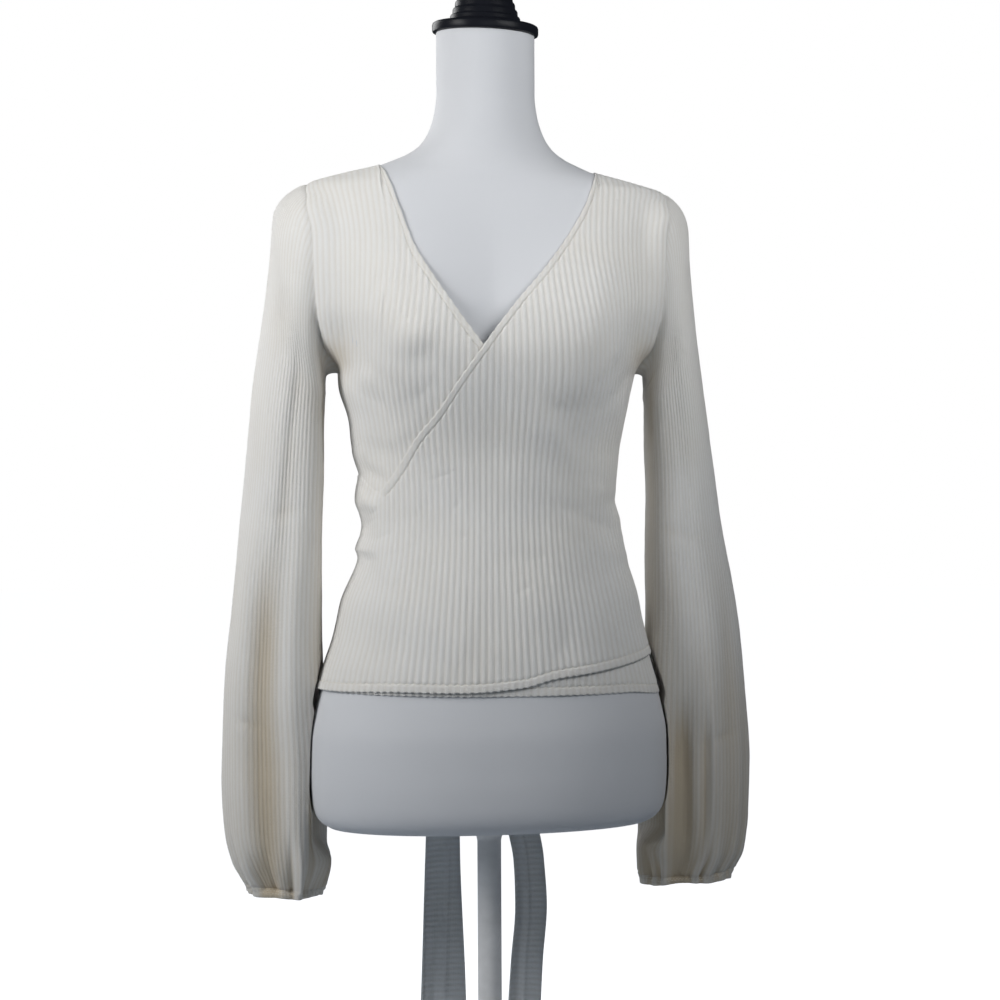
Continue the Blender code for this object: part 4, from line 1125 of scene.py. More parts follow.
def sleeve_section(rings, down, turn):
    """(points, outward directions) of the sleeve's tube, on the wearer's left: arrays over down and turn."""
    curves, whole = sleeve_curves(rings)
    at = {name: curve(down) for name, curve in curves.items()}
    zero = np.zeros_like(at["back"])
    outer = np.stack([at["outer_x"], at["back"], at["outer_height"]], -1)
    inner = np.stack([at["inner_x"], at["back"], at["inner_height"]], -1)
    half = (outer - inner) / 2
    forward = np.stack([zero, -at["half_depth"], zero], -1)
    cos = np.cos(turn)
    sin = np.sin(turn)
    power = 2 + INNER_FULLNESS * eased((down - 0.02) / 0.09) * eased((whole - down) / 0.05)
    fuller = (np.abs(cos) ** power + np.abs(sin) ** power) ** (-1 / power)
    fuller = np.where((cos < 0) & (sin > 0), fuller, 1)[..., None]
    cos = cos[..., None]
    sin = sin[..., None]
    points = clear_of_hip((outer + inner) / 2 + (half * cos + forward * sin) * fuller)
    return points, unit(half) * cos + unit(forward) * sin


def armhole_points(turn, side):
    """(points on the body, outward directions) of the armhole's edge on the wearer's left."""
    height = (ARMPIT + SHOULDER) / 2 + (SHOULDER - ARMPIT) / 2 * np.cos(turn)
    share = np.where(np.sin(turn) > 0, FRONT_SHARE(height), BACK_SHARE(height))
    x = share * HALF_WIDTH(height)
    y = np.where(np.sin(turn) > 0, body_y(x, height, -1), body_y(x, height, 1))
    base = np.stack([x, y, height], -1)
    front_lift = over_lift(x, height) if side > 0 else np.full(x.shape, UNDER_LIFT)
    lift = np.where(np.sin(turn) > 0, front_lift, back_lift(x * side, y, height))
    return base, outward(base), lift + bridged(height)


def angle_off(turn, degrees):
    """Signed degrees between turn, in radians, and degrees."""
    return (np.degrees(turn) - degrees + 180) % 360 - 180


def sleeve_relief(folds, down, turn, whole, seed):
    """Soft folds, creases and the cuff's gathers, off the sleeve's tube."""
    relief = np.zeros(np.broadcast(down, turn).shape)
    for fold in folds:
        share = (down - fold.start) / (fold.stop - fold.start)
        window = eased(share / 0.35) * eased((1.25 - share) / 0.35)
        centre = fold.turn + fold.drift * np.sin(down * 9 + fold.turn)
        relief += fold.depth * window * bell(angle_off(turn, centre), fold.width)
    for crease in SLEEVE_CREASES:
        off = angle_off(turn, crease.turn + 7 * seed)
        level = crease.distance + 0.012 * seed + crease.rise * off / 90
        relief += crease.depth * bell(off, crease.width) * bell(down - level, crease.height)
    share = np.clip(1 - (whole - down) / GATHER_REACH, 0, 1) ** 1.6
    wander = turn * GATHERS + 1.1 * np.sin(3 * turn + seed) + 0.7 * np.sin(7 * turn + 2 * seed)
    waves = np.abs(np.cos(wander / 2)) ** 1.3 * 2 - 1.1
    lengths = 0.75 + 0.35 * np.sin(5 * turn + seed)
    relief += GATHER_RISE * waves * share * lengths
    relief += 0.0008 * np.sin(down * 31 + 2 * turn + seed) * np.sin(3 * turn - down * 14)
    return relief


# The ribs run straight down the arm, so that the seam cuts them: a rib that is so many degrees round the
# tube starts from so many degrees round the armhole
SeamRow = namedtuple("SeamRow", "rib seam")
SEAM_TURNS = rows_of(
    SeamRow,
    (0, 0), (45, 14), (75, 28), (95, 44), (120, 78), (150, 128), (180, 180),
)
SEAM_TURN = table_curve(SEAM_TURNS, "seam")
RIBS_SETTLE = 0.15  # how far down the sleeve they come to lie straight
SLEEVE_START = -0.014  # the armhole's seam lies this far above the sleeve's first section
SEAM_ROWS = np.array((0.0, 0.0008, 0.0018, 0.003, 0.005))  # down from the armhole's seam
CUFF_END_ROWS = np.array((0.005, 0.003, 0.0016, 0.0008, 0.0))  # up from the cuff
SLEEVE_ROWS = 180
SLEEVE_COLUMNS_A_RIB = 6
CUFF_COLUMNS_A_RIB = 5
SLEEVE_AXIS_X = 0.195
SLEEVE_UNDERSIDE = 156  # degrees round, where a sleeve hangs against the body and its painted shade is deepest
SLEEVE_UNDERSIDE_WIDTH = 27
CUFF_SEAM_DIP = 0.001
DEEP_FOLD = 0.008  # a fold of this depth is painted with the whole of the fold's painted shade


def add_tube(name, side, points, ribs, along, crest, material):
    """A closed tube of knit, given as on the wearer's left."""
    points[..., 0] *= side
    points[-1] = points[0]
    made = knit_grid(name + "_knit", points, ribs, along, crest, material, closed=True)
    point_out(made, side * SLEEVE_AXIS_X)
    return add_piece(made, name)


def add_sleeve(name, side, rings, folds, settings, material):
    """A sleeve from the armhole's seam to the cuff, one closed tube of rib knit."""
    _, whole = sleeve_curves(rings)
    rib_turn = np.linspace(0, 2 * math.pi, RIBS_ROUND_SLEEVE * SLEEVE_COLUMNS_A_RIB + 1)[:, None]
    start = SLEEVE_START
    at_seam = start + SEAM_ROWS
    at_cuff = whole - CUFF_END_ROWS
    middle = np.linspace(at_seam[-1], at_cuff[0], SLEEVE_ROWS + 2)[1:-1]
    down = np.concatenate([at_seam, middle, at_cuff])[None, :]
    half_turn = np.degrees(np.minimum(rib_turn, 2 * math.pi - rib_turn))
    seam_turn = np.radians(SEAM_TURN(half_turn))
    seam_turn = np.where(rib_turn > math.pi, 2 * math.pi - seam_turn, seam_turn)
    settled = eased((down - start) / RIBS_SETTLE)
    turn = seam_turn + (rib_turn - seam_turn) * settled
    points, out = sleeve_section(rings, np.maximum(down, 0), turn)
    seam, seam_out, seam_lift = armhole_points(turn, side)
    blend = 0.044 + 0.056 * np.sin(turn) ** 2
    joined = eased((down - start) / blend)[..., None]
    starting = seam + seam_out * (seam_lift[..., None] - SEAM_DIP)
    points = starting + (points - starting) * joined
    out = unit(seam_out + (out - seam_out) * joined)
    phase = rib_turn / (2 * math.pi) * RIBS_ROUND_SLEEVE
    whole_rib = np.rint(phase).astype(int) % RIBS_ROUND_SLEEVE
    strength = uneven(RIBS_ROUND_SLEEVE + 1, SLEEVE_RIB_SPREAD, side)[whole_rib]
    crest = rib_profile(phase)
    risen = (1 - bell(down - start, SEAM_WIDTH)) * (0.40 + 0.60 * eased((down - start) / 0.16))
    grown = eased((down - start) / 0.03)
    wander = 1 + 0.25 * np.sin(down * 170 + phase * 2.4) * np.sin(down * 67 + phase * 1.7)
    folded = sleeve_relief(folds, down, turn, whole, side) * grown
    relief = settings.sleeve_rib_rise * strength * wander * crest * risen
    relief = relief - CUFF_SEAM_DIP * bell(whole - down, 0.0014) + folded
    # painted shade: the sleeve's underside towards the body takes more of the valley colour
    inner = bell(angle_off(turn, SLEEVE_UNDERSIDE), SLEEVE_UNDERSIDE_WIDTH)
    inner = inner * (0.45 + 0.55 * eased((down - 0.04) / 0.10))
    # painted shade: deep folds take more of the valley colour, where shade falls in them
    crest = crest - FOLD_PAINTED_SHADE * np.clip(-folded / DEEP_FOLD, 0, 1) - INNER_PAINTED_SHADE * inner
    # painted shade: the sleeve grows darker towards its low end, more on the side away from the key light
    crest = crest - LOW_PAINTED_SHADES[side] * eased((down - 0.34) / 0.26)
    points = points + out * relief[..., None]
    made = add_tube(name, side, points, phase * SLEEVE_RIB_PITCH, down + 0.02, crest, material)


def add_cuff(name, side, rings, folds, settings, material, thread):
    """The cuff: the gathered edge bound by a turned band with two sewn rows."""
    _, whole = sleeve_curves(rings)
    turn = np.linspace(0, 2 * math.pi, RIBS_ROUND_SLEEVE * CUFF_COLUMNS_A_RIB + 1)[:, None]
    rows = table_column(CUFF_ROWS, "distance")[None, :]
    flat_turn = np.broadcast_to(turn, (len(turn), rows.size))
    ends = np.full(flat_turn.shape, whole)
    points, out = sleeve_section(rings, ends, flat_turn)
    below = CUFF_HEIGHT - rows
    wave = 0.0010 * np.sin(2 * turn + side) + 0.0007 * np.sin(5 * turn + 2 * side) - 0.0022 * np.sin(turn)
    phase = turn / (2 * math.pi) * RIBS_ROUND_SLEEVE
    crest = rib_profile(phase)
    gathers = sleeve_relief(folds, ends, flat_turn, whole, side)
    relief = gathers * (1 - 0.65 * eased(below / 0.006)) + 0.6 * settings.sleeve_rib_rise * crest
    relief = relief - table_column(CUFF_ROWS, "drop")[None, :] - CUFF_DRAW_IN * below
    # painted shade: the cuff's gathers and low end take more of the valley colour, where shade falls
    crest = 0.8 * crest - FOLD_PAINTED_SHADE * np.clip(-gathers / DEEP_FOLD, 0, 1) - LOW_PAINTED_SHADES[side]
    points = points + out * relief[..., None]
    points[..., 2] -= below + wave * eased(below / CUFF_HEIGHT)
    out[..., 0] *= side
    made = add_tube(name, side, points, phase * SLEEVE_RIB_PITCH, rows + 0.7, crest, material)
    lines = [StitchLine(points[:, row], out[:, row]) for row in CUFF_STITCH_ROWS]
    stitches = sew(name + "_stitches", lines, CUFF_STITCH, thread)


# ------------------------------------------------------------------------------ the sash ties

KNOT_HEIGHT = 0.290
KNOT_RADII = (0.023, 0.0135, 0.019)
# The knot's own shape, in shares of its radii
KNOT_CORE = 0.93
KNOT_LEAN = 0.55  # the slope of the turn that passes over it
KNOT_WRAP = 0.16
KNOT_GROOVE = 0.11
KNOT_RIB = 0.022
TIE_LIFT_LEFT = 0.0042
TIE_LIFT_RIGHT = 0.0077
TIE_RIB_PITCH = 0.0053
TieBand = namedtuple("TieBand", "turn lower upper")
TIE_OVER_BAND = (TieBand(-101.0, 0.262, 0.327), TieBand(-175.8, 0.276, 0.304))
TIE_UNDER_BAND = (TieBand(98.0, 0.272, 0.318), TieBand(170.0, 0.276, 0.304))
TIE_ARC_RADIUS = 0.105
TIE_PAINTED_SHADE = (0.76, 0.80, 0.85)  # painted shade: the hanging ends are painted greyer and bluer towards their tips, where the form shades them
# heights at which the painted shade starts and is whole
DOWNWARD_SHADE_STARTS = 0.58
DOWNWARD_SHADE_WHOLE = 0.36
TieRow = namedtuple("TieRow", "length x half_width")
TIE_OVER_END = rows_of(
    TieRow,
    (0.0, -0.01, 0.0092), (0.25, -0.022, 0.015), (0.6, -0.032, 0.0165), (1.0, -0.036, 0.0225),
)
TIE_UNDER_END = rows_of(
    TieRow,
    (0.0, 0.01, 0.0092), (0.25, 0.028, 0.015), (0.6, 0.042, 0.0152), (0.68, 0.048, 0.015),
    (0.78, 0.05, 0.0158), (0.89, 0.0465, 0.0158), (1.0, 0.0445, 0.016),
)
TIE_END_HEIGHT = -0.195
TIE_END_CLEARANCE = 0.0095
TIE_END_TOP = KNOT_HEIGHT - KNOT_RADII[2] + 0.004
TIE_END_DROP = TIE_END_TOP - TIE_END_HEIGHT
# Lengthwise folds of a band that is pulled into the knot: where across it, how wide and how deep
BandFold = namedtuple("BandFold", "across width depth")
BAND_FOLDS = rows_of(
    BandFold,
    (0.12, 0.06, 0.0016),
    (0.27, 0.05, -0.0012),
    (0.44, 0.075, 0.0022),
    (0.6, 0.045, -0.0014),
    (0.75, 0.07, 0.0018),
    (0.9, 0.05, -0.0006),
)
# Rows across a band, turned under beyond 0 and 1
BAND_ACROSS = np.concatenate(
    [[-0.02, -0.005, 0.0, 0.005], np.linspace(0.02, 0.98, 56), [0.995, 1.0, 1.005, 1.02]]
)[None, :]


def add_tie_band(name, ends, lift, material, settings, seed):
    """A tie's run round the back, its cross ribs fanned by the folds that the knot pulls in."""
    start, stop = ends
    arc = math.radians(abs(stop.turn - start.turn)) * TIE_ARC_RADIUS
    ribs = arc / TIE_RIB_PITCH
    share = np.linspace(0, 1, int(ribs * 6) + 1)[:, None]
    across = BAND_ACROSS
    folded = np.where(across < 0, -across, np.where(across > 1, 2 - across, across))
    tuck = np.where((across < 0) | (across > 1), 0.0014, 0.0)
    tuck = tuck + 0.0006 * (np.abs(folded - 0.5) > 0.4995)
    lower = start.lower + (stop.lower - start.lower) * eased(share)
    upper = start.upper + (stop.upper - start.upper) * eased(share)
    sag = 0.0016 * np.sin(share * 5 + seed)
    height = lower + (upper - lower) * folded + sag
    base = body_point(start.turn + (stop.turn - start.turn) * share + 0 * across, height)
    phase = share * ribs
    relief = settings.sleeve_rib_rise * rib_profile(phase) - tuck
    gathered = eased(share / 0.08) * (0.35 + 0.65 * eased((share - 0.15) / 0.7))
    leaving = 1 - eased(share / 0.10)
    for fold in BAND_FOLDS:
        centre = fold.across + 0.03 * np.sin(share * 4 + seed + fold.across * 9)
        relief = relief + fold.depth * gathered * bell(folded - centre, fold.width)
    clear = lift + 0.0006 - (lift - OVER_LIFT) * leaving
    points = pulled(base + outward(base) * (clear + relief)[..., None])
    made = knit_grid(name + "_knit", points, phase * TIE_RIB_PITCH, height, rib_profile(phase), material)
    point_out(made)
    add_piece(made, name)


def knot_y():
    return float(BACK(KNOT_HEIGHT)) + TIE_LIFT_RIGHT + KNOT_RADII[1]


def tie_end_path(rows, stations):
    """(x, y behind, height, half width) down a free end."""
    height = TIE_END_TOP - TIE_END_DROP * stations
    x = table_curve(rows, "x")(stations)
    half = table_curve(rows, "half_width")(stations)
    behind = np.empty_like(stations)
    for i, level in enumerate(height):
        above = np.arange(max(level, 0.0), TIE_END_TOP + 0.008, 0.008)
        behind[i] = max(knot_y(), float(np.max(body_y(x[i], above, 1))) + TIE_END_CLEARANCE)
    return x, behind, height, half


def add_tie_end(name, rows, material, settings, seed):
    """A free end of the sash: cross ribs, turned sides and one lengthwise fold."""
    ribs = TIE_END_DROP / TIE_RIB_PITCH
    stations = np.linspace(0, 1, int(ribs * 5) + 1)
    x, behind, height, half = tie_end_path(rows, stations)
    across = np.concatenate([[-0.90, -0.985, -1.0], np.linspace(-0.985, 0.985, 23), [1.0, 0.985, 0.90]])
    under = np.array([0.0013, 0.0012, 0.0006] + [0.0] * 23 + [0.0006, 0.0012, 0.0013])
    sway = 0.0016 * np.sin(stations * 7 + seed)
    fold_at = -0.25 + 0.35 * np.sin(stations * 3 + seed)
    deep = 0.0034 * (0.5 + 0.5 * np.sin(2.2 * math.pi * stations + seed * 0.5))
    curl = 0.0020 * np.sin(stations * 11 + seed * 2)
    phase = stations * ribs
    points = np.empty((len(across), len(stations), 3))
    for i, share in enumerate(across):
        ridge = deep * bell(share - fold_at, 0.22)
        crease = 0.0014 * bell(share - fold_at - 0.42, 0.12)
        lift = settings.sleeve_rib_rise * rib_profile(phase) + ridge - crease
        lift = lift + curl * share * abs(share) - under[i]
        points[i, :, 0] = x + sway + half * share
        points[i, :, 1] = behind + 0.0010 + lift
        points[i, :, 2] = height - 0.0012 * share * np.sin(stations * 5 + seed)
    along = phase * TIE_RIB_PITCH
    made = knit_grid(name + "_knit", points, along, across[:, None] * 0.016, rib_profile(phase), material)
    add_piece(made, name)


def add_knot(material):
    """The knot: a bulb of cloth with one turn passing over it, grooved where the layers meet."""
    mesh = bmesh.new()
    bmesh.ops.create_uvsphere(mesh, u_segments=96, v_segments=64, radius=1)
    for vert in mesh.verts:
        place = vert.co.copy()
        lean = place.x * KNOT_LEAN + place.z
        wrap = KNOT_WRAP * math.exp(-((lean / 0.42) ** 2))
        groove = -KNOT_GROOVE * math.exp(-(((abs(lean) - 0.52) / 0.09) ** 2))
        pleat = 0.035 * math.sin(13 * lean) + 0.03 * math.sin(9 * place.x - 4 * place.z)
        turns = 2 * math.pi * (place.x * 0.9 - place.z * 0.5) * KNOT_RADII[0] / TIE_RIB_PITCH * 1.4
        rib = KNOT_RIB * math.cos(turns)
        vert.co = place * (KNOT_CORE + wrap + groove + pleat + rib)
    bmesh.ops.scale(mesh, vec=KNOT_RADII, verts=mesh.verts)
    bmesh.ops.translate(mesh, vec=(0, knot_y(), KNOT_HEIGHT), verts=mesh.verts)
    stand_up(mesh)
    data = mesh_data("tie_knot_wrap", mesh)
    layer = data.uv_layers.new(name="knit")
    for loop in data.loops:
        place = data.vertices[loop.vertex_index].co
        layer.data[loop.index].uv = (place.x, place.z)
    shade = data.attributes.new("crest", "FLOAT", "POINT")
    shade.data.foreach_set("value", np.full(len(data.vertices), 0.8))
    add_piece(new_object("tie_knot_wrap", data, material), "tie_knot")


# ------------------------------------------------------------------------------ form, cap and stand

FORM_SIDES = 128
FORM_ROWS = 170
FORM_GIRTH_RADIUS = 0.13
FORM_SEAM_DIP = 0.0006
FORM_ROLL_TOP = 0.050  # from here down to the rolled foot the rows lie closer together
FORM_ROLL_ROWS = 11
TURNED_STEPS = 96
# Turned profiles, as radius and height, from the bottom up
CAP_PROFILE = (
    (0.044, 0.7343), (0.047, 0.7343), (0.0482, 0.7349), (0.0487, 0.7362), (0.0487, 0.741),
    (0.0482, 0.7424), (0.047, 0.7432), (0.04, 0.744), (0.035, 0.745), (0.0328, 0.746),
    (0.0322, 0.7472), (0.0322, 0.7496), (0.0316, 0.7508), (0.0304, 0.7514), (0.03, 0.7524),
    (0.0298, 0.7558), (0.0292, 0.757), (0.0282, 0.7576), (0.0277, 0.7588), (0.0275, 0.7622),
    (0.027, 0.7634), (0.0262, 0.7641), (0.0256, 0.7654), (0.025, 0.769), (0.0242, 0.7702),
    (0.0239, 0.7714), (0.0236, 0.774), (0.0238, 0.7772), (0.0236, 0.7806), (0.0222, 0.7846),
    (0.0196, 0.7882), (0.0156, 0.791), (0.0104, 0.7926), (0.005, 0.7931),
)
STAND_PROFILE = (
    (0.138, -0.3), (0.145, -0.3), (0.1478, -0.299), (0.1494, -0.2968), (0.1498, -0.294),
    (0.1498, -0.2895), (0.1488, -0.2868), (0.1462, -0.2842), (0.142, -0.2826), (0.12, -0.2818),
    (0.06, -0.28), (0.034, -0.2786), (0.023, -0.2766), (0.0166, -0.2736), (0.013, -0.27),
    (0.0113, -0.265), (0.011, -0.256), (0.011, -0.006), (0.0118, -0.002), (0.015, 0.0008),
    (0.029, 0.0042), (0.0308, 0.0054), (0.0315, 0.007), (0.0318, 0.0115),
)


def add_form(material):
    """The form's jersey skin, stretched smooth, with the seam that runs up its back."""
    turn = np.linspace(0, 2 * math.pi, FORM_SIDES + 1)[:, None]
    share = np.linspace(0, 1, FORM_ROWS)
    foot = FORM_RINGS[0].height
    low = foot + (FORM_ROLL_TOP - foot) * (share[:FORM_ROLL_ROWS] / share[FORM_ROLL_ROWS]) ** 2
    high = np.linspace(FORM_ROLL_TOP, FORM_TOP, FORM_ROWS - FORM_ROLL_ROWS)
    height = np.concatenate([low, high])[None, :]
    x = HALF_WIDTH(height) * np.sin(turn)
    y = np.where(np.cos(turn) > 0, body_y(x, height, -1, 1.0), body_y(x, height, 1, 1.0))
    points = np.stack(np.broadcast_arrays(x, y, height), -1)
    normal = outward(points, 1.0)
    seam = FORM_SEAM_DIP * bell(np.abs(turn - np.pi), 0.012) * (np.abs(turn - np.pi) < 0.5)
    points = pulled(points - normal * (INSET(height) + seam)[..., None])
    points[-1] = points[0]
    made = knit_grid("dress_form_skin", points, turn * FORM_GIRTH_RADIUS, height, 1, material, closed=True)
    mesh = bmesh.new()
    mesh.from_mesh(made.data)
    close_rims(mesh)
    mesh.to_mesh(made.data)
    mesh.free()
    made.data.shade_smooth()
    made.data.set_sharp_from_angle(angle=math.radians(50))
    add_piece(made, "dress_form")


def add_turned(name, node, profile, material):
    """A full turn of a profile about the form's axis, closed by flat ends."""
    mesh = bmesh.new()
    line = [mesh.verts.new((radius, 0, height)) for radius, height in profile]
    edges = [mesh.edges.new(pair) for pair in zip(line, line[1:])]
    whole_turn = {"axis": (0, 0, 1), "cent": (0, 0, 0), "angle": 2 * math.pi, "use_merge": True}
    bmesh.ops.spin(mesh, geom=line + edges, steps=TURNED_STEPS, **whole_turn)
    bmesh.ops.remove_doubles(mesh, verts=mesh.verts, dist=1e-6)
    close_rims(mesh)
    stand_up(mesh)
    made = new_object(name, mesh_data(name, mesh), material)
    made.data.set_sharp_from_angle(angle=math.radians(40))
    add_piece(made, node)


# ------------------------------------------------------------------------------ settings

COLOUR = {"subtype": "COLOR", "size": 3, "min": 0, "max": 1}
SMALL = {"unit": "LENGTH", "min": 0, "max": 0.003}


class WrapTopKnit(bpy.types.PropertyGroup):
    """The knit of the top"""

    cream: FloatVectorProperty(
        name="Cream", description="Colour of the knit", default=(0.86, 0.86, 0.85), **COLOUR
    )
    cream_warm: FloatVectorProperty(
        name="Warm Cream", description="Colour of its warmer patches", default=(0.85, 0.84, 0.81), **COLOUR
    )
    # painted shade: the colour painted into the ribs' valleys and into the shaded folds and hollows
    valley: FloatVectorProperty(
        name="Valley", description="Colour between the ribs", default=(0.58, 0.50, 0.38), **COLOUR
    )
    thread: FloatVectorProperty(
        name="Thread", description="Colour of the stitches", default=(0.84, 0.81, 0.74), **COLOUR
    )
    valley_shade: FloatProperty(
        name="Valley Shade", description="How much of the valley colour shows", subtype="FACTOR", min=0,
        max=1, default=0.22,
    )
    rib_rise: FloatProperty(
        name="Rib Rise", description="Height of the body's ribs", default=0.00068, **SMALL
    )
    sleeve_rib_rise: FloatProperty(
        name="Sleeve Rib Rise", description="Height of the sleeves' and ties' ribs", default=0.00042, **SMALL
    )
    scallop: FloatProperty(
        name="Scallop", description="How far a rib stands out at a hem's edge", default=0.0004, **SMALL
    )


class WrapTopForm(bpy.types.PropertyGroup):
    """The dress form and its stand"""

    jersey: FloatVectorProperty(
        name="Jersey", description="Colour of the form's skin", default=(0.70, 0.715, 0.745), **COLOUR
    )
    jersey_wale: FloatProperty(
        name="Jersey Wale", description="Width of one column of the skin's knit", unit="LENGTH", min=0.0003,
        max=0.003, default=0.0007, precision=4,
    )
    cap: FloatVectorProperty(
        name="Cap", description="Colour of the neck cap", default=(0.010, 0.011, 0.015), **COLOUR
    )
    stand: FloatVectorProperty(
        name="Stand", description="Colour of the pole and base", default=(0.80, 0.80, 0.80), **COLOUR
    )


class WrapTopStage(bpy.types.PropertyGroup):
    """The floor, the lights and the camera"""

    floor: FloatVectorProperty(
        name="Floor", description="Colour of the floor", default=(0.62, 0.69, 0.78), **COLOUR
    )
    floor_size: FloatProperty(
        name="Floor Size", description="Radius of the floor", unit="LENGTH", min=0.5, max=20, default=9.0
    )
    key: FloatProperty(name="Key Light", description="Watts of the light at the left", min=0, default=5.1)
    low_key: FloatProperty(name="Low Key Light", description="Watts of the one below it", min=0, default=2.2)
    side: FloatProperty(name="Side Light", description="Watts of the light at the right", min=0, default=2.5)
    front: FloatProperty(name="Front Light", description="Watts of the light in front", min=0, default=0.55)
    rear: FloatProperty(name="Rear Light", description="Watts of the light behind", min=0, default=7.5)
    fill: FloatProperty(name="Fill", description="Strength of the light from all round", min=0, default=0.03)
    distance: FloatProperty(
        name="Camera Distance", description="From the lens to the form's axis", unit="LENGTH", min=0.5,
        default=2.45,
    )
    azimuth: FloatProperty(
        name="Azimuth", description="Camera's place round the form, towards the left", unit="ROTATION",
        default=math.radians(5.0),
    )
    roll: FloatProperty(
        name="Roll", description="Turn of the camera about its line of sight", unit="ROTATION",
        default=math.radians(-0.28),
    )


# ------------------------------------------------------------------------------ the studio

EYE_LEVEL = 0.6726  # the lens's height
VIEW_SCALE = 0.00092  # metres across one of the image's thousand columns, at the form's axis
AIM_COLUMN = 487.5
AIM_ROW = 430.0
IMAGE_SIDE = 1000
FLOOR_DROP = 0.0005
FLOOR_GLOW = 0.985
LIGHT_SPREAD = math.radians(120)  # so that the light falls away towards the floor
Light = namedtuple("Light", "name place target size colour")
LIGHTS = rows_of(
    Light,
    ("key", (-1.25, -0.55, 1.30), (0, 0, 0.92), (0.6, 0.8), (1.0, 0.975, 0.94)),
    ("low_key", (-1.20, -0.68, 1.00), (0, 0, 0.85), (0.6, 0.8), (0.93, 0.96, 1.0)),
    ("side", (0.62, -0.68, 1.22), (0.03, 0, 1.00), (0.6, 0.5), (1.0, 1.0, 1.0)),
    ("front", (0, -1.0, 1.05), (0, 0, 0.85), (0.5, 0.5), (0.95, 0.98, 1.0)),
    ("rear", (-1.15, 1.55, 1.35), (0, 0, 0.85), (1.2, 1.2), (1.0, 1.0, 1.0)),
)


def add_camera(settings):
    data = bpy.data.cameras.new("photo_camera")
    camera = bpy.data.objects.new("photo_camera", data)
    bpy.context.scene.collection.objects.link(camera)
    data.sensor_width = 36
    data.sensor_fit = "HORIZONTAL"
    data.lens = data.sensor_width * settings.distance / (VIEW_SCALE * IMAGE_SIDE)
    # the aim's pixel is brought to its place by turning the camera, with no shift
    right = (IMAGE_SIDE / 2 - AIM_COLUMN) * VIEW_SCALE
    down = (IMAGE_SIDE / 2 - AIM_ROW) * VIEW_SCALE
    back = Vector((math.sin(settings.azimuth), math.cos(settings.azimuth), 0)) * -settings.distance
    place = back + Vector((0, 0, EYE_LEVEL))
    yaw = math.atan2(right, settings.distance)
    pitch = math.atan2(down, settings.distance)
    turn = Matrix.Rotation(-settings.azimuth - yaw, 4, "Z") @ Matrix.Rotation(math.pi / 2 - pitch, 4, "X")
    turn = turn @ Matrix.Rotation(settings.roll, 4, "Z")
    camera.matrix_world = Matrix.Translation(place) @ turn
    bpy.context.scene.camera = camera


def add_light(light, power):
    data = bpy.data.lights.new(light.name, "AREA")
    data.shape = "RECTANGLE"
    data.size, data.size_y = light.size
    data.energy = power
    data.color = light.colour
    data.spread = LIGHT_SPREAD
    made = bpy.data.objects.new(light.name, data)
    made.location = light.place
    made.rotation_euler = (Vector(light.target) - Vector(light.place)).to_track_quat("-Z", "Y").to_euler()
    bpy.context.scene.collection.objects.link(made)


def add_floor(settings):
    """A pale floor, white to the camera."""
    mesh = bmesh.new()
    bmesh.ops.create_circle(mesh, cap_ends=True, segments=128, radius=settings.floor_size)
    bmesh.ops.translate(mesh, vec=(0, 0, -FLOOR_DROP), verts=mesh.verts)
    finish = Finish("pale_floor", settings.floor, 0.8, {"Emission Color": (1, 1, 1, 1)})
    seen = finish.node("LightPath").outputs["Is Camera Ray"]
    finish.feed(finish.shader, {"Emission Strength": finish.math("MULTIPLY", seen, FLOOR_GLOW)})
    new_object("floor", mesh_data("floor", mesh), finish.material)


def add_world(settings):
    """A white studio: bright where the camera sees it, softer as light."""
    world = bpy.data.worlds.new("studio")
    bpy.context.scene.world = world
    world.use_nodes = True
    nodes, links = world.node_tree.nodes, world.node_tree.links
    soft = nodes["Background"]
    soft.inputs["Color"].default_value = (0.62, 0.80, 1.0, 1)
    soft.inputs["Strength"].default_value = settings.fill
    bright = nodes.new("ShaderNodeBackground")
    bright.inputs["Color"].default_value = (1, 1, 1, 1)
    bright.inputs["Strength"].default_value = 1.0
    rays = nodes.new("ShaderNodeLightPath")
    mix = nodes.new("ShaderNodeMixShader")
    links.new(rays.outputs["Is Camera Ray"], mix.inputs[0])
    links.new(soft.outputs[0], mix.inputs[1])
    links.new(bright.outputs[0], mix.inputs[2])
    links.new(mix.outputs[0], nodes["World Output"].inputs["Surface"])


# ------------------------------------------------------------------------------ operators


def shared(name, build, *values):
    """The material of that name, built when it is first asked for."""
    return bpy.data.materials.get(name) or build(name, *values)


class WRAPTOP_OT_stage(bpy.types.Operator):
    """Build the floor, the lights and the camera"""

    bl_idname = "wraptop.stage"
    bl_label = "Studio"

    def execute(self, context):
        settings = context.scene.wraptop_stage
        add_floor(settings)
        add_world(settings)
        for light in LIGHTS:
            add_light(light, getattr(settings, light.name))
        add_camera(settings)
        context.scene.view_settings.view_transform = "Standard"
        return {"FINISHED"}


class WRAPTOP_OT_form(bpy.types.Operator):
    """Build the dress form's skin"""

    bl_idname = "wraptop.form"
    bl_label = "Dress Form"

    def execute(self, context):
        add_form(jersey_material(context.scene.wraptop_form))
        return {"FINISHED"}


class WRAPTOP_OT_hardware(bpy.types.Operator):
    """Build the turned neck cap and the stand"""

    bl_idname = "wraptop.hardware"
    bl_label = "Cap and Stand"

    def execute(self, context):
        settings = context.scene.wraptop_form
        cap = lacquer_material("black_cap", settings.cap, 0.30, 0.0, 0.10)
        stand = lacquer_material("white_lacquer", settings.stand, 0.35, 0.3)
        add_turned("neck_cap_turned", "neck_cap", CAP_PROFILE, cap)
        add_turned("stand_turned", "stand", STAND_PROFILE, stand)
        return {"FINISHED"}


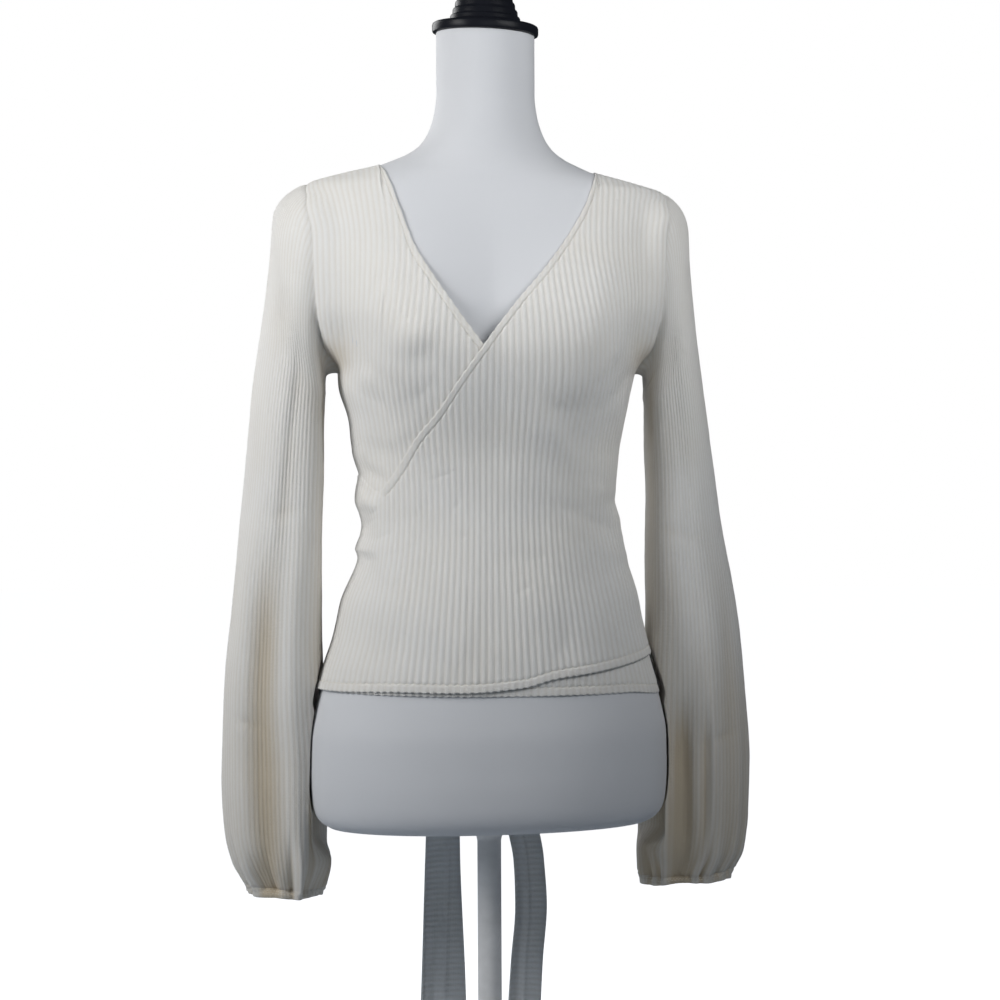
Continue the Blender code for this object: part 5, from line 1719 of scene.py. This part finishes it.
class WRAPTOP_OT_back(bpy.types.Operator):
    """Build the back panel"""

    bl_idname = "wraptop.back"
    bl_label = "Back"

    def execute(self, context):
        settings = context.scene.wraptop_knit
        knit = shared("body_rib_knit", knit_material, settings, BODY_LOOPS)
        add_back(settings, knit, shared("cream_thread", thread_material, settings))
        return {"FINISHED"}


class WRAPTOP_OT_fronts(bpy.types.Operator):
    """Build the two crossed fronts with their necklines, hems and stitches"""

    bl_idname = "wraptop.fronts"
    bl_label = "Fronts"

    def execute(self, context):
        settings = context.scene.wraptop_knit
        knit = shared("body_rib_knit", knit_material, settings, BODY_LOOPS)
        thread = shared("cream_thread", thread_material, settings)
        add_front_under(settings, knit, thread)
        add_front_over(settings, knit, thread)
        return {"FINISHED"}


class WRAPTOP_OT_sleeves(bpy.types.Operator):
    """Build the balloon sleeves and their cuffs"""

    bl_idname = "wraptop.sleeves"
    bl_label = "Sleeves and Cuffs"

    def execute(self, context):
        settings = context.scene.wraptop_knit
        knit = shared("sleeve_rib_knit", knit_material, settings, SLEEVE_LOOPS)
        thread = shared("cream_thread", thread_material, settings)
        for name, side, rings, folds in (
            ("left", -1, LEFT_SLEEVE_RINGS, LEFT_SLEEVE_FOLDS),
            ("right", 1, RIGHT_SLEEVE_RINGS, RIGHT_SLEEVE_FOLDS),
        ):
            add_sleeve("sleeve_" + name, side, rings, folds, settings, knit)
            add_cuff("cuff_" + name, side, rings, folds, settings, knit, thread)
        return {"FINISHED"}


class WRAPTOP_OT_ties(bpy.types.Operator):
    """Build the sash ties and the knot behind"""

    bl_idname = "wraptop.ties"
    bl_label = "Sash Ties"

    def execute(self, context):
        settings = context.scene.wraptop_knit
        knit = shared("sleeve_rib_knit", knit_material, settings, SLEEVE_LOOPS)
        add_tie_band("tie_over_band", TIE_OVER_BAND, TIE_LIFT_LEFT, knit, settings, 0.4)
        add_tie_band("tie_under_band", TIE_UNDER_BAND, TIE_LIFT_RIGHT, knit, settings, 2.1)
        add_knot(knit)
        # painted shade: the hanging ends are painted darker towards their tips, where the form shades them
        hanging = knit_material("tie_rib_knit", settings, SLEEVE_LOOPS, TIE_PAINTED_SHADE)
        add_tie_end("tie_over_end", TIE_OVER_END, hanging, settings, 0.7)
        add_tie_end("tie_under_end", TIE_UNDER_END, hanging, settings, 2.6)
        return {"FINISHED"}


class WRAPTOP_PT_panel(bpy.types.Panel):
    """Pieces of the wrap top and their settings"""

    bl_idname = "WRAPTOP_PT_panel"
    bl_label = "Wrap Top"
    bl_space_type = "VIEW_3D"
    bl_region_type = "UI"
    bl_category = "Wrap Top"

    def draw(self, context):
        for operator in OPERATORS:
            self.layout.operator(operator.bl_idname)
        for group in (context.scene.wraptop_knit, context.scene.wraptop_form, context.scene.wraptop_stage):
            box = self.layout.box()
            for name in group.__annotations__:
                box.prop(group, name)


OPERATORS = (
    WRAPTOP_OT_stage,
    WRAPTOP_OT_form,
    WRAPTOP_OT_hardware,
    WRAPTOP_OT_back,
    WRAPTOP_OT_fronts,
    WRAPTOP_OT_sleeves,
    WRAPTOP_OT_ties,
)
GROUPS = (WrapTopKnit, WrapTopForm, WrapTopStage)


def register():
    for item in (*GROUPS, *OPERATORS, WRAPTOP_PT_panel):
        bpy.utils.register_class(item)
    bpy.types.Scene.wraptop_knit = PointerProperty(type=WrapTopKnit)
    bpy.types.Scene.wraptop_form = PointerProperty(type=WrapTopForm)
    bpy.types.Scene.wraptop_stage = PointerProperty(type=WrapTopStage)


def unregister():
    del bpy.types.Scene.wraptop_stage
    del bpy.types.Scene.wraptop_form
    del bpy.types.Scene.wraptop_knit
    for item in reversed((*GROUPS, *OPERATORS, WRAPTOP_PT_panel)):
        bpy.utils.unregister_class(item)


def main():
    register()
    bpy.ops.wraptop.stage()
    bpy.ops.wraptop.form()
    bpy.ops.wraptop.hardware()
    bpy.ops.wraptop.back()
    bpy.ops.wraptop.fronts()
    bpy.ops.wraptop.sleeves()
    bpy.ops.wraptop.ties()


if __name__ == "__main__":
    main()
